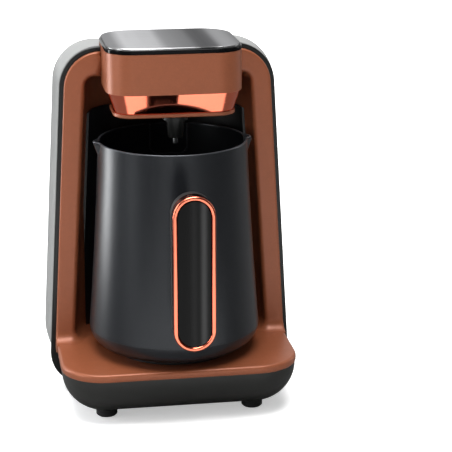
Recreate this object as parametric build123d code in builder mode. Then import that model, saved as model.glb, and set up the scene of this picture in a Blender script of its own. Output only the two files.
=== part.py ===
from build123d import *
import os
from math import cos, radians, sin

# Electric Turkish coffee maker: a pump-fed machine with a lidded water tank in its head,
# a hot plate in its tray and a loose pot. Millimetres, +Z up, front towards -Y. The origin
# is on the table, in the middle of the whole object with its pot in place.

# ---------------------------------------------------------------- driving dimensions
# Arch: the upright, seen from the front a trapezoid with rounded corners
arch_front_y = 20.0          # front face of the painted casing
arch_half = 84.0             # half width at the height arch_half_z
arch_half_z = 32.0
arch_taper = 0.059           # half width lost per millimetre of height
arch_drop = 1.8              # top of the arch below the top of the head
arch_bottom_z = 5.4
arch_top_radius = 28.0
arch_low_radius = 23.0
casing_plate = 3.0           # thickness of the painted front plate
trim_reveal = 3.0            # width of black trim seen around the painted plate
trim_depth = 4.0
trim_band = 5.0              # radial width of the trim ring

# Rear shell
shell_wall = 2.5
shell_back_y = 95.5
shell_floor_rise = 2.6       # underside of the shell above the underside of the base
shell_low_radius = 34.0
shell_top_radius = 28.0

# Niche: the hollow in the arch behind the pot
niche_frame = 16.8           # width of the painted frame beside the niche, low down
niche_taper = 0.0625
niche_depth = 47.0
niche_rise = 5.0             # top of the niche above the top of the copper band
niche_wall = 2.5
niche_mouth_y = 10.0
panel_wall = 1.5             # black lining of the niche
panel_drop = 26.0            # top of the lining below the top of the niche
panel_front_y = 35.0
panel_half = 58.0
panel_corner = 10.0

# Base and tray
base_inset = 4.5             # sides of the base inside those of the arch
base_front_y = -50.0
base_bottom_z = 5.4
base_corner = 29.0
base_bottom_radius = 27.0
base_wall = 2.5
tray_z = 38.7                # top of the tray
tray_thickness = 5.3
tray_overhang = 0.6
tray_edge = 1.8

# Feet
foot_x = 50.0
front_foot_y = -22.0
rear_foot_y = 68.0
foot_radius = 7.2
foot_recess = 1.0
foot_web = 2.0

# Head
head_half = 44.9
head_front_y = -24.4
head_crown = 1.4             # bulge of the front face in plan
head_corner = 18.0
head_rear_y = 53.0
head_rear_corner = 22.0
head_low_rear_y = 24.0       # rear of the part of the head that hangs in the niche
head_low_rear_corner = 8.0
head_wall = 2.5
head_top_z = 245.5
head_height = 26.5           # painted part of the head
head_collar = 8.0            # height of the head's rim inside the arch
band_height = 13.6
band_top_step = 0.8
band_bottom_step = 5.3
band_wall = 1.2
lip_thickness = 2.4
lip_edge = 0.9
lip_step = 4.5

# Lid over the tank
lid_gap = 0.3
lid_thickness = 2.6
lid_plate_thickness = 1.2
lid_plate_step = 0.9
lid_edge = 0.8
lid_rim_width = 3.6
lid_seal_height = 1.8        # gasket under the lid's rim, just clear of the tank's edge
hinge_y = 56.0
hinge_rise = 0.5             # hinge above the top of the head
hinge_radius = 2.0
hinge_pin_radius = 0.9
hinge_fit = 0.06
hinge_half = 24.0
hinge_middle_half = 14.0
hinge_arm_height = 1.4
hinge_arm_gap = 0.1
lid_knuckle_step = 0.2

# Pot
pot_y = 3.0                  # axis of the pot and of the hot plate
pot_rim_radius = 50.0
pot_clearance = 19.4         # rim of the pot below the head
pot_seam_radius = 58.0
pot_base_height = 12.2
pot_bottom_radius = 50.0
pot_wall = 1.6
spout_reach = 4.6
spout_drop = 24.0
spout_half = 19.0
spout_tip = 5.0
spout_root = 40.0
spout_fade = 6.0
pot_curve = 1.3
pot_profile_steps = 6
pot_base_thickness = 1.8
bowl_step = 2.1
bowl_radius = 13.0
skirt_radius = 14.0
seam_gap = 0.05
level_line = 1.2
level_corner = 6.0
level_height = 0.7
level_half = 13.5            # raised filling mark on the pot's inner rear wall
level_drop = 22.0
level_x = 3.5

# Pot handle
handle_front_y = -97.0
handle_half = 13.4
handle_low_z = 69.5
handle_drop = 13.2           # top of the handle below the rim of the pot
ring_limb = 2.7
ring_depth = 8.0
ring_edge = 1.1
grip_round = 3.0
arm_corner = 4.0
bracket_step = 1.0
inlay_sunk = 0.8
inlay_thickness = 4.0
grip_depth = 9.0
arm_half = 8.0
upper_arm_drop = 42.6
upper_arm_height = 22.0
lower_arm_z = 86.0
lower_arm_height = 16.0
bracket_thickness = 5.0
bracket_hole = 3.0           # depth of the screw holes past the brackets' lower edges
bracket_hole_end = 0.5
arm_root = 1.0               # how far the arms start inside the grip

# Hot plate
plate_radius = 38.5
plate_rise = 4.5             # top of the hot plate above the tray
plate_rim = 3.7
plate_edge = 0.6
boss_radius = 33.0
element_radius = 25.0
element_tube = 3.5
element_gap_angle = 50.0
shield_radius = 38.5
shield_drop = 25.2           # shield below the top of the hot plate
shield_corner = 3.0
shield_thickness = 1.0
shield_post_reach = 33.0
shield_post_angles = (20, 160, 200, 340)
element_drop = 13.9
sensor_radius = 4.0
sensor_edge = 0.8
seal_reach = 3.0
shield_height = 9.0
cable_radius = 2.6            # hole of the shield for the two leads
shield_cable = (0.0, 36.0)
wire_radius = 0.8
wire_spread = 1.3             # half the distance between the two leads in the shield's hole
thermostat_radius = 8.0
thermostat_height = 9.8
thermostat_cap = 2.0
thermostat_cap_radius = 4.8
thermostat_x = 13.0
fuse_radius = 2.4
fuse_half = 7.0
fuse_lead = 4.0
fuse_lead_radius = 0.8
lead_bend = 4.0              # leads of the element: length before they turn down
lead_gather = 4.5            # height above the shield at which they come together
lead_drops = (2.5, 5.3)      # depth below the shield at which they run to the terminal block
lead_turns = (8.0, 4.0)      # distance in front of the power board at which they rise
lead_corner = 1.5
seal_lip = 1.6
seal_edge = 0.96

# Nozzle
nozzle_y = -11.5
nozzle_length = 14.3
nozzle_top_radius = 6.15
nozzle_bottom_radius = 5.0
nozzle_flange_radius = 8.3
nozzle_flange = 2.4
outlet_radius = 1.7
outlet_reach = 4.1
outlet_bore = 1.1
outlet_top = 1.0             # top of the steel outlet above the painted plate
nozzle_head = 3.0            # top of the nozzle above the axis of its hose
window_radius = 4.0
window_place = (22.0, 2.0)
window_reach = 0.4
window_edge = 0.3
window_flange = 1.2
window_flange_height = 1.0
foam_board = (14.0, 12.0, 1.2)
foam_eye_radius = 2.2
foam_board_gap = 2.2         # between the lens and the sensor's board

# Water tank and pump
tank_side_gap = 11.9         # between the outside of the head and the tank; the feed hose runs here
tank_wall = 1.8
tank_front_y = -17.5
tank_step_y = 19.0
tank_rear_y = 47.0
tank_drop = 4.5              # tank's edge below the top of the head
tank_depth = 28.0
tank_shelf = 13.0            # depth of the rear half of the tank
tank_corner = 5.0
sump_front_gap = 2.0
sump_rear_gap = 6.0
sump_rise = 25.0             # bottom of the sump above the axis of the pump
sump_drop = 10.0             # top of the sump below the shelf of the tank
sump_overlap = 8.0           # height over which the neck runs down into the sump
neck_step = 3.0              # sides of the neck inside those of the tank
neck_inset = 7.5
neck_height = 5.2
pump_radius = 11.0
pump_edge = 1.5
pump_inset = 12.2            # axis of the pump in front of the inside of the shell
pump_z = 80.0
pump_head_half = 7.0         # blocks at the pump's ends, with its ports on top
pump_head_front = 4.0
pump_head_rear = 6.0
pump_head_end = 4.0
pump_left_gap = 10.0         # end of the pump beside the axis of the feed hose
pump_right_gap = 6.0         # end of the pump beside the axis of the suction hose
spigot_inset = 11.0          # spigot of the sump inside the side of the tank
spigot_radius = 1.9
spigot_length = 7.0
cradle_inset = 6.0
cradle_half = 7.0
cradle_grip = 4.0            # height and thickness of the cradle's saddle around the pump
cradle_fit = 0.05
cradle_leg_half = 7.0
cradle_leg_thickness = 4.0
cradle_leg_gap = 7.2         # rear of the leg in front of the inside of the shell
cradle_leg_length = 22.0
cradle_screw_rise = 5.0
hose_radius = 2.25
hose_bore = 1.25
hose_fit = 0.02
hose_gap = 3.0               # axis of the feed hose beside the tank
hose_inset = 15.0            # hoses in front of the inside of the shell
hose_rise = 2.0              # feed hose above the shelf of the tank
hose_drop = 4.0              # feed hose above the painted plate, where it runs to the nozzle
hose_bend = 7.0
hose_down_y = 13.0

# Controls on the right-hand side
control_inset = 41.5         # controls in front of the back of the shell
control_half_y = 11.0
control_drop = 45.7          # top of the control strip below the top of the arch
control_height = 68.0
control_plate = 0.6
control_seat = 0.05
control_corner = 5.0
board_half_y = 12.0
switch_height = 3.6
switch_half = 3.0
plunger_height = 0.7
plunger_radius = 1.7
led_height = 1.4
buzzer_radius = 5.0
buzzer_height = 7.0
buzzer_drop = 31.0
buzzer_hole_radius = 1.0
buzzer_hole_depth = 0.6
flange_gap = 1.3
stem_radius = 2.4
press_gap = 0.1
spring_wire = 0.3
spring_radius = 5.3
spring_turns = 4
button_rises = {"start": 22.0, "slow": 44.0}
button_radius = 6.2
button_clearance = 0.25
button_proud = 0.9
button_edge = 0.6
button_travel = 1.2
button_flange = 1.4
button_flange_radius = 7.6
light_pipe_radius = 1.4
light_pipe_rises = (33.0, 58.0)
light_pipe_proud = 0.2
light_pipe_edge = 0.4
board_depth = 10.2           # control board inside the side of the arch
board_thickness = 1.6
side_flare = 2.55            # how far the shell stands out at the controls

# Fasteners, posts and boards inside
post_x = 47.0                # posts of the casing, screwed through the back of the shell
post_pilot = 0.1
post_low_z = 62.0
post_high_z = 183.0
post_radius = 3.5
post_front_y = 45.0
rim_wall = 2.0
rim_depth = 8.0
boss_radius_small = 4.0
rear_boss_top_z = 24.0
foot_post_low_z = 8.4
power_half = 42.0            # power board, lying under the tray
power_rear_gap = 14.0
power_depth = 27.0
power_z = 15.5
board_post_inset = 4.0
transformer_place = (19.0, 65.0)
transformer_core = (18.0, 18.0, 14.0)
transformer_coil = (24.0, 8.0, 10.0)
transformer_coil_rise = 2.0
relay_place = (-4.0, 65.0)
relay_size = (16.0, 20.0, 12.0)
part_edge = 1.0
terminal_place = (-24.0, 66.0)
terminal_size = (12.0, 18.0, 11.0)
terminal_pitch = 6.0
terminal_hole_radius = 1.8
terminal_hole_depth = 3.0
terminal_hole_rise = 6.0
lead_depth = 2.0             # length of each lead inside the terminal block
board_low_gap = 6.0          # control board, upright beside the buttons
board_high_gap = 4.0
side_post_spread = 8.5
side_post_radius = 2.2
side_post_seat = 0.3
seal_gap = 1.2
gland_x = -34.0
gland_z = 42.0
gland_radius = 6.0
gland_flange = 1.5
gland_flange_radius = 8.0
gland_depth = 9.0
gland_bore = 3.3
gland_edge = 0.5
vent_x = 14.0
vent_z = 72.0
vent_pitch = 6.5
vent_count = 6
trim_edge = 0.8
vent_length = 40.0
vent_height = 2.8
screw_length = 12.0
screw_radius = 1.5
screw_fit = 0.15
shell_screw_head = 1.4
screw_head_radius = 3.0
screw_head = 2.2
board_screw_head_radius = 2.7
board_screw_head = 1.6
side_screw_head_radius = 2.4
side_screw_head = 1.4
small_gap = 0.3

# ---------------------------------------------------------------- values worked out
trim_y = arch_front_y + casing_plate
shell_y = trim_y + trim_depth
shell_inside_y = shell_back_y - shell_wall
tray_low_z = tray_z - tray_thickness
arch_top_z = head_top_z - arch_drop
niche_half = arch_half - niche_frame
base_half = arch_half - base_inset
band_top_z = head_top_z - head_height
band_bottom_z = band_top_z - band_height
lip_z = band_bottom_z - lip_thickness
lid_z = head_top_z + lid_gap
lid_plate_z = lid_z + lid_thickness
hinge_z = head_top_z + hinge_rise
niche_top_z = band_top_z + niche_rise
panel_top_z = niche_top_z - panel_drop
plate_top_z = tray_z + plate_rise
element_z = plate_top_z - element_drop
element_top_z = element_z + element_tube
shield_z = plate_top_z - shield_drop
thermostat_z = element_top_z - thermostat_height
pot_bottom_z = plate_top_z + small_gap
pot_floor_z = pot_bottom_z + pot_base_thickness
pot_seam_z = pot_bottom_z + pot_base_height
pot_rim_z = lip_z - pot_clearance
nozzle_bottom_z = lip_z - nozzle_length
outlet_end_z = nozzle_bottom_z - outlet_reach
outlet_top_z = band_bottom_z + outlet_top
tank_half = head_half - tank_side_gap
tank_top_z = head_top_z - tank_drop
tank_shelf_z = tank_top_z - tank_shelf
tank_floor_z = tank_top_z - tank_depth
sump_high_z = tank_shelf_z - sump_drop
sump_low_z = pump_z + sump_rise
sump_front_y = arch_front_y + niche_depth + niche_wall + sump_front_gap
sump_rear_y = shell_inside_y - sump_rear_gap
neck_rear_y = sump_rear_y - neck_inset
neck_half = tank_half - neck_step
hose_x = -tank_half - hose_gap
spigot_x = tank_half - spigot_inset
pump_left_x = hose_x + pump_left_gap
pump_right_x = spigot_x - pump_right_gap
pump_y = shell_inside_y - pump_inset
hose_y = shell_inside_y - hose_inset
hose_high_z = tank_shelf_z + hose_rise
hose_low_z = band_bottom_z + hose_drop
nozzle_head_z = hose_low_z + nozzle_head
panel_y = shell_back_y - control_inset
control_high_z = arch_top_z - control_drop
control_low_z = control_high_z - control_height
button_zs = {label: control_low_z + rise for label, rise in button_rises.items()}
light_pipe_zs = [control_low_z + rise for rise in light_pipe_rises]
board_low_z = control_low_z + board_low_gap
board_high_z = control_high_z - board_high_gap
buzzer_z = board_high_z - buzzer_drop
power_rear_y = shell_inside_y - power_rear_gap
power_front_y = power_rear_y - power_depth
power_top_z = power_z + board_thickness
shell_floor_z = arch_bottom_z + shell_floor_rise
floor_inside_z = shell_floor_z + shell_wall

# Stations of the rear shell: depth, how far the sides stand out, how far the top comes
# down, how far the floor comes up
shell_stations = [
    (shell_y, 0.0, 0.0, 0.0),
    (shell_back_y - 55.5, 2.0, 0.0, 0.0),
    (shell_back_y - 43.5, 2.6, 0.0, 0.0),
    (shell_back_y - 28.5, 1.0, -2.0, 0.5),
    (shell_back_y - 14.5, -5.0, -8.0, 3.0),
    (shell_back_y - 5.0, -13.0, -17.0, 9.0),
    (shell_back_y, -23.0, -28.0, 18.0),
]


def arch_half_at(z):
    return arch_half - arch_taper * (z - arch_half_z)


board_x = arch_half_at(control_high_z) - board_depth
board_face_x = board_x + board_thickness
switch_top_x = board_face_x + switch_height + plunger_height


def niche_half_at(z):
    return niche_half - niche_taper * (z - tray_z)


def front_plane(y):
    """Plane seen from the front: its x is X and its y is Z."""
    return Plane.XZ.offset(-y)


def arch_outline(side, top, floor_z, low_radius, top_radius):
    """Rounded trapezoid of the arch, its sides and its top moved outwards."""
    high_z = arch_top_z + top
    low, high = arch_half_at(floor_z) + side, arch_half_at(high_z) + side
    with BuildLine() as edge:
        Polyline((-low, floor_z), (low, floor_z), (high, high_z), (-high, high_z), close=True)
    make_face(edge.edges())
    fillet(vertices().group_by(Axis.Y)[0], low_radius)
    fillet(vertices().group_by(Axis.Y)[-1], top_radius)


def ring_outline(inset):
    """Outline of the front pieces of the arch, moved inwards by inset."""
    arch_outline(-inset, -inset, arch_bottom_z + inset, arch_low_radius - inset,
                 arch_top_radius - inset)


def niche_outline(z, grow, front_y):
    """Plan of the niche at the height z: straight at the front, elliptical at the rear."""
    half, depth = niche_half_at(z) + grow, niche_depth + grow
    with BuildLine() as edge:
        arc = EllipticalCenterArc((0, arch_front_y), half, depth, start_angle=0, arc_size=180)
        if front_y < arch_front_y:
            Polyline(arc @ 1, (-half, front_y), (half, front_y), arc @ 0)
        else:
            Line(arc @ 1, arc @ 0)
    make_face(edge.edges())


def niche_solid(low_z, high_z, grow, mode=Mode.ADD):
    """Space of the niche between two heights, its walls moved outwards by grow.

    A solid that is cut away reaches out through the front plate.
    """
    front_y = niche_mouth_y if mode == Mode.SUBTRACT else arch_front_y
    plans = []
    for z in (low_z, high_z):
        with BuildSketch(Plane.XY.offset(z)) as plan:
            niche_outline(z, grow, front_y)
        plans.append(plan.sketch)
    loft(plans, ruled=True, mode=mode)


def head_outline(inset, rear_y, rear_radius):
    """Plan of the head with its crowned front, moved inwards by inset."""
    half, front, rear = head_half - inset, head_front_y + inset, rear_y - inset
    with BuildLine() as edge:
        crown = ThreePointArc((-half, front + head_crown), (0, front), (half, front + head_crown))
        Polyline(crown @ 1, (half, rear), (-half, rear), crown @ 0)
    make_face(edge.edges())
    fillet(vertices().group_by(Axis.Y)[0], head_corner - inset)
    fillet(vertices().group_by(Axis.Y)[-1], max(rear_radius - inset, 1.0))


def base_outline(grow, rear_y):
    """Plan of the base, moved outwards by grow, square at the rear."""
    half, front = base_half + grow, base_front_y - grow
    with BuildLine() as edge:
        Polyline((-half, front), (half, front), (half, rear_y), (-half, rear_y), close=True)
    make_face(edge.edges())
    fillet(vertices().group_by(Axis.Y)[0], base_corner + grow)


def base_tub(floor_z, grow, rear_y):
    """Solid tub under the tray, its lower edges rounded, with one size moved by grow."""
    with BuildPart() as tub:
        with BuildSketch(Plane.XY.offset(floor_z)):
            base_outline(grow, rear_y)
        extrude(amount=tray_low_z - floor_z)
        fillet(tub.faces().sort_by(Axis.Z)[0].edges().sort_by(Axis.Y)[:-1], base_bottom_radius + grow)
    return tub.part


def tray_slab():
    """Solid tray with its top edge rounded, without the hole for the hot plate."""
    with BuildPart() as slab:
        with BuildSketch(Plane.XY.offset(tray_low_z)):
            base_outline(tray_overhang, trim_y)
        extrude(amount=tray_thickness)
        fillet(slab.faces().sort_by(Axis.Z)[-1].edges().sort_by(Axis.Y)[:-1], tray_edge)
    return slab.part


def stadium(half, low_z, high_z):
    """Upright oblong with round ends."""
    with Locations((0, (low_z + high_z) / 2)):
        SlotOverall(high_z - low_z, 2 * half, rotation=90)


def save(part, label):
    part.part.label = label
    export_step(part.part, f"parts/{label}.step")


os.makedirs("parts", exist_ok=True)


# ---------------------------------------------------------------- shapes shared by several pieces
def shell_form(grow, floor_z, back_y):
    """Solid form of the rear shell with its sides and its top moved outwards by grow."""
    outlines = []
    for y, side, top, rise in shell_stations:
        with BuildSketch(front_plane(min(y, back_y))) as outline:
            arch_outline(side + grow, top + grow, floor_z + rise, shell_low_radius + grow,
                         shell_top_radius + grow)
        outlines.append(outline.sketch)
    return loft(outlines, mode=Mode.PRIVATE)


def head_passage(low_z, clearance):
    """Way through the arch for the head above low_z."""
    with BuildSketch(Plane.XY.offset(low_z)) as profile:
        head_outline(-clearance, head_rear_y, head_rear_corner)
    extrude(profile.sketch, amount=2 * head_collar + head_top_z - low_z, mode=Mode.SUBTRACT)


def upright(radius, low_z, high_z, places, mode=Mode.ADD):
    """Upright cylinders at the given (x, y) places."""
    with BuildSketch(Plane.XY.offset(low_z)) as profile:
        with Locations(*places):
            Circle(radius)
    extrude(profile.sketch, amount=high_z - low_z, mode=mode)


def lying(radius, front_y, rear_y, places, mode=Mode.ADD):
    """Cylinders along Y at the given (x, z) places."""
    with BuildSketch(front_plane(front_y)) as profile:
        with Locations(*places):
            Circle(radius)
    extrude(profile.sketch, amount=front_y - rear_y, mode=mode)


def sideways(radius, low_x, high_x, places, mode=Mode.ADD):
    """Cylinders along X at the given (y, z) places."""
    with BuildSketch(Plane.YZ.offset(low_x)) as profile:
        with Locations(*places):
            Circle(radius)
    extrude(profile.sketch, amount=high_x - low_x, mode=mode)


def block(x, y, z, mode=Mode.ADD):
    """Box between pairs of coordinates."""
    with BuildSketch(Plane.XY.offset(z[0])) as profile:
        with Locations(((x[0] + x[1]) / 2, (y[0] + y[1]) / 2)):
            Rectangle(x[1] - x[0], y[1] - y[0])
    extrude(profile.sketch, amount=z[1] - z[0], mode=mode)


def box_on(place, size, low_z):
    """Box of a size, standing on low_z at an (x, y) place."""
    block((place[0] - size[0] / 2, place[0] + size[0] / 2),
          (place[1] - size[1] / 2, place[1] + size[1] / 2), (low_z, low_z + size[2]))


def shell_side(z):
    """Outer face of the rear shell at the controls."""
    return arch_half_at(z) + side_flare


# ---------------------------------------------------------------- arch
rear_posts = [(x, z) for x in (-post_x, post_x) for z in (post_low_z, post_high_z)]
front_feet = [(-foot_x, front_foot_y), (foot_x, front_foot_y)]
rear_feet = [(-foot_x, rear_foot_y), (foot_x, rear_foot_y)]
board_posts = [(x, y) for x in (-power_half + board_post_inset, power_half - board_post_inset)
               for y in (power_front_y + board_post_inset, power_rear_y - board_post_inset)]
side_posts = [(panel_y + dy, z) for dy in (-side_post_spread, side_post_spread)
              for z in (board_low_z + board_post_inset, board_high_z - board_post_inset)]

shield_posts = [(shield_post_reach * cos(radians(a)), pot_y + shield_post_reach * sin(radians(a)))
                for a in shield_post_angles]

cradle_rear_y = shell_inside_y - cradle_leg_gap
cradle_low_z = pump_z - pump_radius - cradle_grip - cradle_leg_length
cradle_boss = ((pump_left_x + pump_right_x) / 2, cradle_low_z + cradle_screw_rise)

# Rear shell: lofted through the stations, hollow, open at the front
with BuildPart() as rear_shell:
    add(shell_form(0, shell_floor_z, shell_back_y))
    add(shell_form(-shell_wall, floor_inside_z, shell_inside_y), mode=Mode.SUBTRACT)
    head_passage(head_top_z - head_collar - small_gap, small_gap)
    # Bosses for the rear feet, pillars for the power board and for the control board
    upright(boss_radius_small, floor_inside_z - shell_wall / 2, rear_boss_top_z, rear_feet)
    upright(boss_radius_small, floor_inside_z - shell_wall / 5, power_z, board_posts)
    for y, z in side_posts:
        sideways(side_post_radius, board_face_x, arch_half_at(z) + side_post_seat, [(y, z)])
    # Boss on the back that carries the pump's cradle
    lying(boss_radius_small, cradle_rear_y, shell_back_y - shell_wall / 2, [cradle_boss])
    lying(screw_radius - post_pilot, cradle_rear_y, shell_inside_y, [cradle_boss], Mode.SUBTRACT)
    upright(screw_radius, shell_floor_z - shell_wall, rear_boss_top_z + shell_wall, rear_feet,
            Mode.SUBTRACT)
    # Screws of the casing, cord gland, vents, buttons and light pipes
    lying(screw_radius + small_gap, shell_back_y - 2 * shell_wall, shell_back_y + 1, rear_posts,
          Mode.SUBTRACT)
    lying(gland_radius, shell_back_y - 4 * shell_wall, shell_back_y + 1, [(gland_x, gland_z)],
          Mode.SUBTRACT)
    with BuildSketch(front_plane(shell_back_y - 3 * shell_wall)):
        with Locations((vent_x, vent_z)):
            with GridLocations(0, vent_pitch, 1, vent_count):
                SlotOverall(vent_length, vent_height)
    extrude(amount=-4 * shell_wall, mode=Mode.SUBTRACT)
    for z in button_zs.values():
        sideways(button_radius + button_clearance, shell_side(z) - 3 * shell_wall,
                 shell_side(z) + shell_wall, [(panel_y, z)], Mode.SUBTRACT)
    for z in light_pipe_zs:
        sideways(light_pipe_radius + small_gap / 3, shell_side(z) - 3 * shell_wall,
                 shell_side(z) + shell_wall, [(panel_y, z)], Mode.SUBTRACT)
save(rear_shell, "rear_shell")

# Edge trim: the black ring between the painted plate and the shell
with BuildPart() as edge_trim:
    with BuildSketch(front_plane(trim_y)):
        ring_outline(0)
        with BuildSketch(front_plane(trim_y), mode=Mode.SUBTRACT):
            ring_outline(trim_band)
    extrude(amount=-trim_depth)
    fillet(edges().group_by(Axis.Y)[0].filter_by(lambda e: e.length > 1).sort_by(Axis.Z)[-1:],
           trim_edge)
    block((-head_half - small_gap, head_half + small_gap), (0, head_rear_y),
          (band_top_z, head_top_z), Mode.SUBTRACT)
save(edge_trim, "edge_trim")

# Front casing: arch plate, niche wall and tray in one painted moulding
with BuildPart() as front_casing:
    with BuildSketch(front_plane(arch_front_y)):
        ring_outline(trim_reveal)
        with Locations((0, tray_low_z)):
            Rectangle(4 * arch_half, 2 * arch_half, align=(Align.CENTER, Align.MAX), mode=Mode.SUBTRACT)
    extrude(amount=-casing_plate)
    # Inner rim that holds the trim and the shell in line
    with BuildSketch(front_plane(trim_y)):
        ring_outline(trim_band + small_gap)
        with BuildSketch(front_plane(trim_y), mode=Mode.SUBTRACT):
            ring_outline(trim_band + small_gap + rim_wall)
        with Locations((0, tray_low_z)):
            Rectangle(4 * arch_half, 2 * arch_half, align=(Align.CENTER, Align.MAX), mode=Mode.SUBTRACT)
    extrude(amount=-rim_depth)
    lying(post_radius, post_front_y, shell_inside_y, rear_posts)
    niche_solid(tray_low_z, niche_top_z + niche_wall, niche_wall)
    add(tray_slab())
    upright(boss_radius_small, foot_post_low_z, tray_z - tray_thickness / 2, front_feet)
    niche_solid(tray_z, niche_top_z, 0, mode=Mode.SUBTRACT)
    head_passage(head_top_z - head_collar - small_gap, small_gap)
    block((-head_half - small_gap, head_half + small_gap), (0, head_low_rear_y + small_gap),
          (band_top_z - small_gap, head_top_z), Mode.SUBTRACT)
    block((-head_half - small_gap, head_half + small_gap), (0, trim_y + rim_depth + small_gap),
          (niche_top_z + niche_wall, head_top_z), Mode.SUBTRACT)
    upright(plate_radius + seal_gap, 0, tray_z + 1, [(0, pot_y)], Mode.SUBTRACT)
    lying(screw_radius - post_pilot, shell_back_y - screw_length, shell_back_y, rear_posts,
          Mode.SUBTRACT)
    upright(screw_radius - post_pilot, 0, foot_post_low_z + screw_length, front_feet, Mode.SUBTRACT)
save(front_casing, "front_casing")

# Black lining of the niche behind the pot
with BuildPart() as niche_panel:
    niche_solid(tray_z + small_gap, niche_top_z, -small_gap / 2)
    niche_solid(tray_z, niche_top_z + 1, -small_gap / 2 - panel_wall, mode=Mode.SUBTRACT)
    with BuildSketch(front_plane(panel_front_y)):
        with Locations((0, panel_top_z)):
            Rectangle(2 * panel_half, 2 * panel_top_z, align=(Align.CENTER, Align.MAX))
        fillet(vertices().group_by(Axis.Y)[-1], panel_corner)
    extrude(amount=-niche_depth, mode=Mode.INTERSECT)
save(niche_panel, "niche_panel")

# Base pan: the dark tub under the tray
with BuildPart() as base_pan:
    add(base_tub(base_bottom_z, 0, trim_y))
    add(base_tub(base_bottom_z + base_wall, -base_wall, trim_y), mode=Mode.SUBTRACT)
    upright(boss_radius_small, base_bottom_z + base_wall / 2, shield_z, shield_posts)
    upright(screw_radius + small_gap, 0, base_bottom_z + 2 * base_wall, front_feet, Mode.SUBTRACT)
save(base_pan, "base_pan")

# Rubber feet: the front pair under the base, the taller rear pair under the shell
foot_tops = {front_feet[0]: base_bottom_z, front_feet[1]: base_bottom_z,
             rear_feet[0]: shell_floor_z, rear_feet[1]: shell_floor_z}
with BuildPart() as feet:
    for place, top_z in foot_tops.items():
        with BuildSketch(Plane.XY.offset(0)):
            with Locations(place):
                Circle(foot_radius)
        extrude(amount=top_z)
    chamfer(feet.edges().filter_by(GeomType.CIRCLE).group_by(Axis.Z)[0], foot_recess)
    for place, top_z in foot_tops.items():
        upright(screw_head_radius + small_gap, 0, top_z - foot_web, [place], Mode.SUBTRACT)
        upright(screw_radius + small_gap, 0, top_z, [place], Mode.SUBTRACT)
save(feet, "feet")


def screw(place, head_z, length):
    """Screw pointing up at a place, its head below head_z."""
    upright(screw_head_radius, head_z - screw_head, head_z, [place])
    upright(screw_radius - screw_fit, head_z, head_z + length, [place])


with BuildPart() as foot_screws:
    for place, top_z in foot_tops.items():
        screw(place, top_z - foot_web, foot_web + screw_length)
save(foot_screws, "foot_screws")

with BuildPart() as shell_screws:
    lying(screw_head_radius, shell_back_y, shell_back_y + shell_screw_head, rear_posts)
    lying(screw_radius - screw_fit, shell_back_y - screw_length + 1, shell_back_y, rear_posts)
save(shell_screws, "shell_screws")

# ---------------------------------------------------------------- hot plate under the pot
with BuildPart() as hot_plate:
    upright(plate_radius, plate_top_z - plate_rim, plate_top_z, [(0, pot_y)])
    chamfer(hot_plate.edges().group_by(Axis.Z)[-1], plate_edge)
    upright(boss_radius, element_top_z, plate_top_z - plate_rim, [(0, pot_y)])
    upright(sensor_radius + small_gap, 0, plate_top_z, [(0, pot_y)], Mode.SUBTRACT)
save(hot_plate, "hot_plate")

with BuildPart() as plate_seal:
    upright(plate_radius + seal_reach, tray_z, tray_z + seal_lip, [(0, pot_y)])
    fillet(plate_seal.edges().group_by(Axis.Z)[-1], seal_edge)
    upright(plate_radius + seal_gap - small_gap / 3, tray_low_z, tray_z, [(0, pot_y)])
    upright(plate_radius, tray_low_z, tray_z + seal_lip, [(0, pot_y)], Mode.SUBTRACT)
save(plate_seal, "plate_seal")

with BuildPart() as heating_element:
    with BuildSketch(Plane.YZ):
        with Locations((pot_y + element_radius, element_z)):
            Circle(element_tube)
    revolve(axis=Axis((0, pot_y, 0), (0, 0, 1)), revolution_arc=360 - element_gap_angle)
save(heating_element, "heating_element")

# Dished shield below the element, on the pillars of the base pan
with BuildPart() as heat_shield:
    upright(shield_radius, shield_z, shield_z + shield_height, [(0, pot_y)])
    fillet(heat_shield.edges().group_by(Axis.Z)[0], shield_corner)
    upright(shield_radius - shield_thickness, shield_z + shield_thickness, shield_z + shield_height,
            [(0, pot_y)], Mode.SUBTRACT)
    upright(cable_radius, shield_z - 1, shield_z + shield_height, [shield_cable], Mode.SUBTRACT)
save(heat_shield, "heat_shield")

with BuildPart() as thermostat:
    upright(thermostat_radius, thermostat_z, element_top_z, [(-thermostat_x, pot_y)])
    upright(thermostat_cap_radius, thermostat_z - thermostat_cap, thermostat_z,
            [(-thermostat_x, pot_y)])
save(thermostat, "thermostat")

with BuildPart() as thermal_fuse:
    for radius, half in ((fuse_radius, fuse_half), (fuse_lead_radius, fuse_half + fuse_lead)):
        lying(radius, pot_y - half, pot_y + half, [(thermostat_x, element_top_z - fuse_radius)])
save(thermal_fuse, "thermal_fuse")

with BuildPart() as plate_sensor:
    upright(sensor_radius, thermostat_z, plate_top_z, [(0, pot_y)])
    fillet(plate_sensor.edges().group_by(Axis.Z)[-1], sensor_edge)
save(plate_sensor, "plate_sensor")

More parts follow.
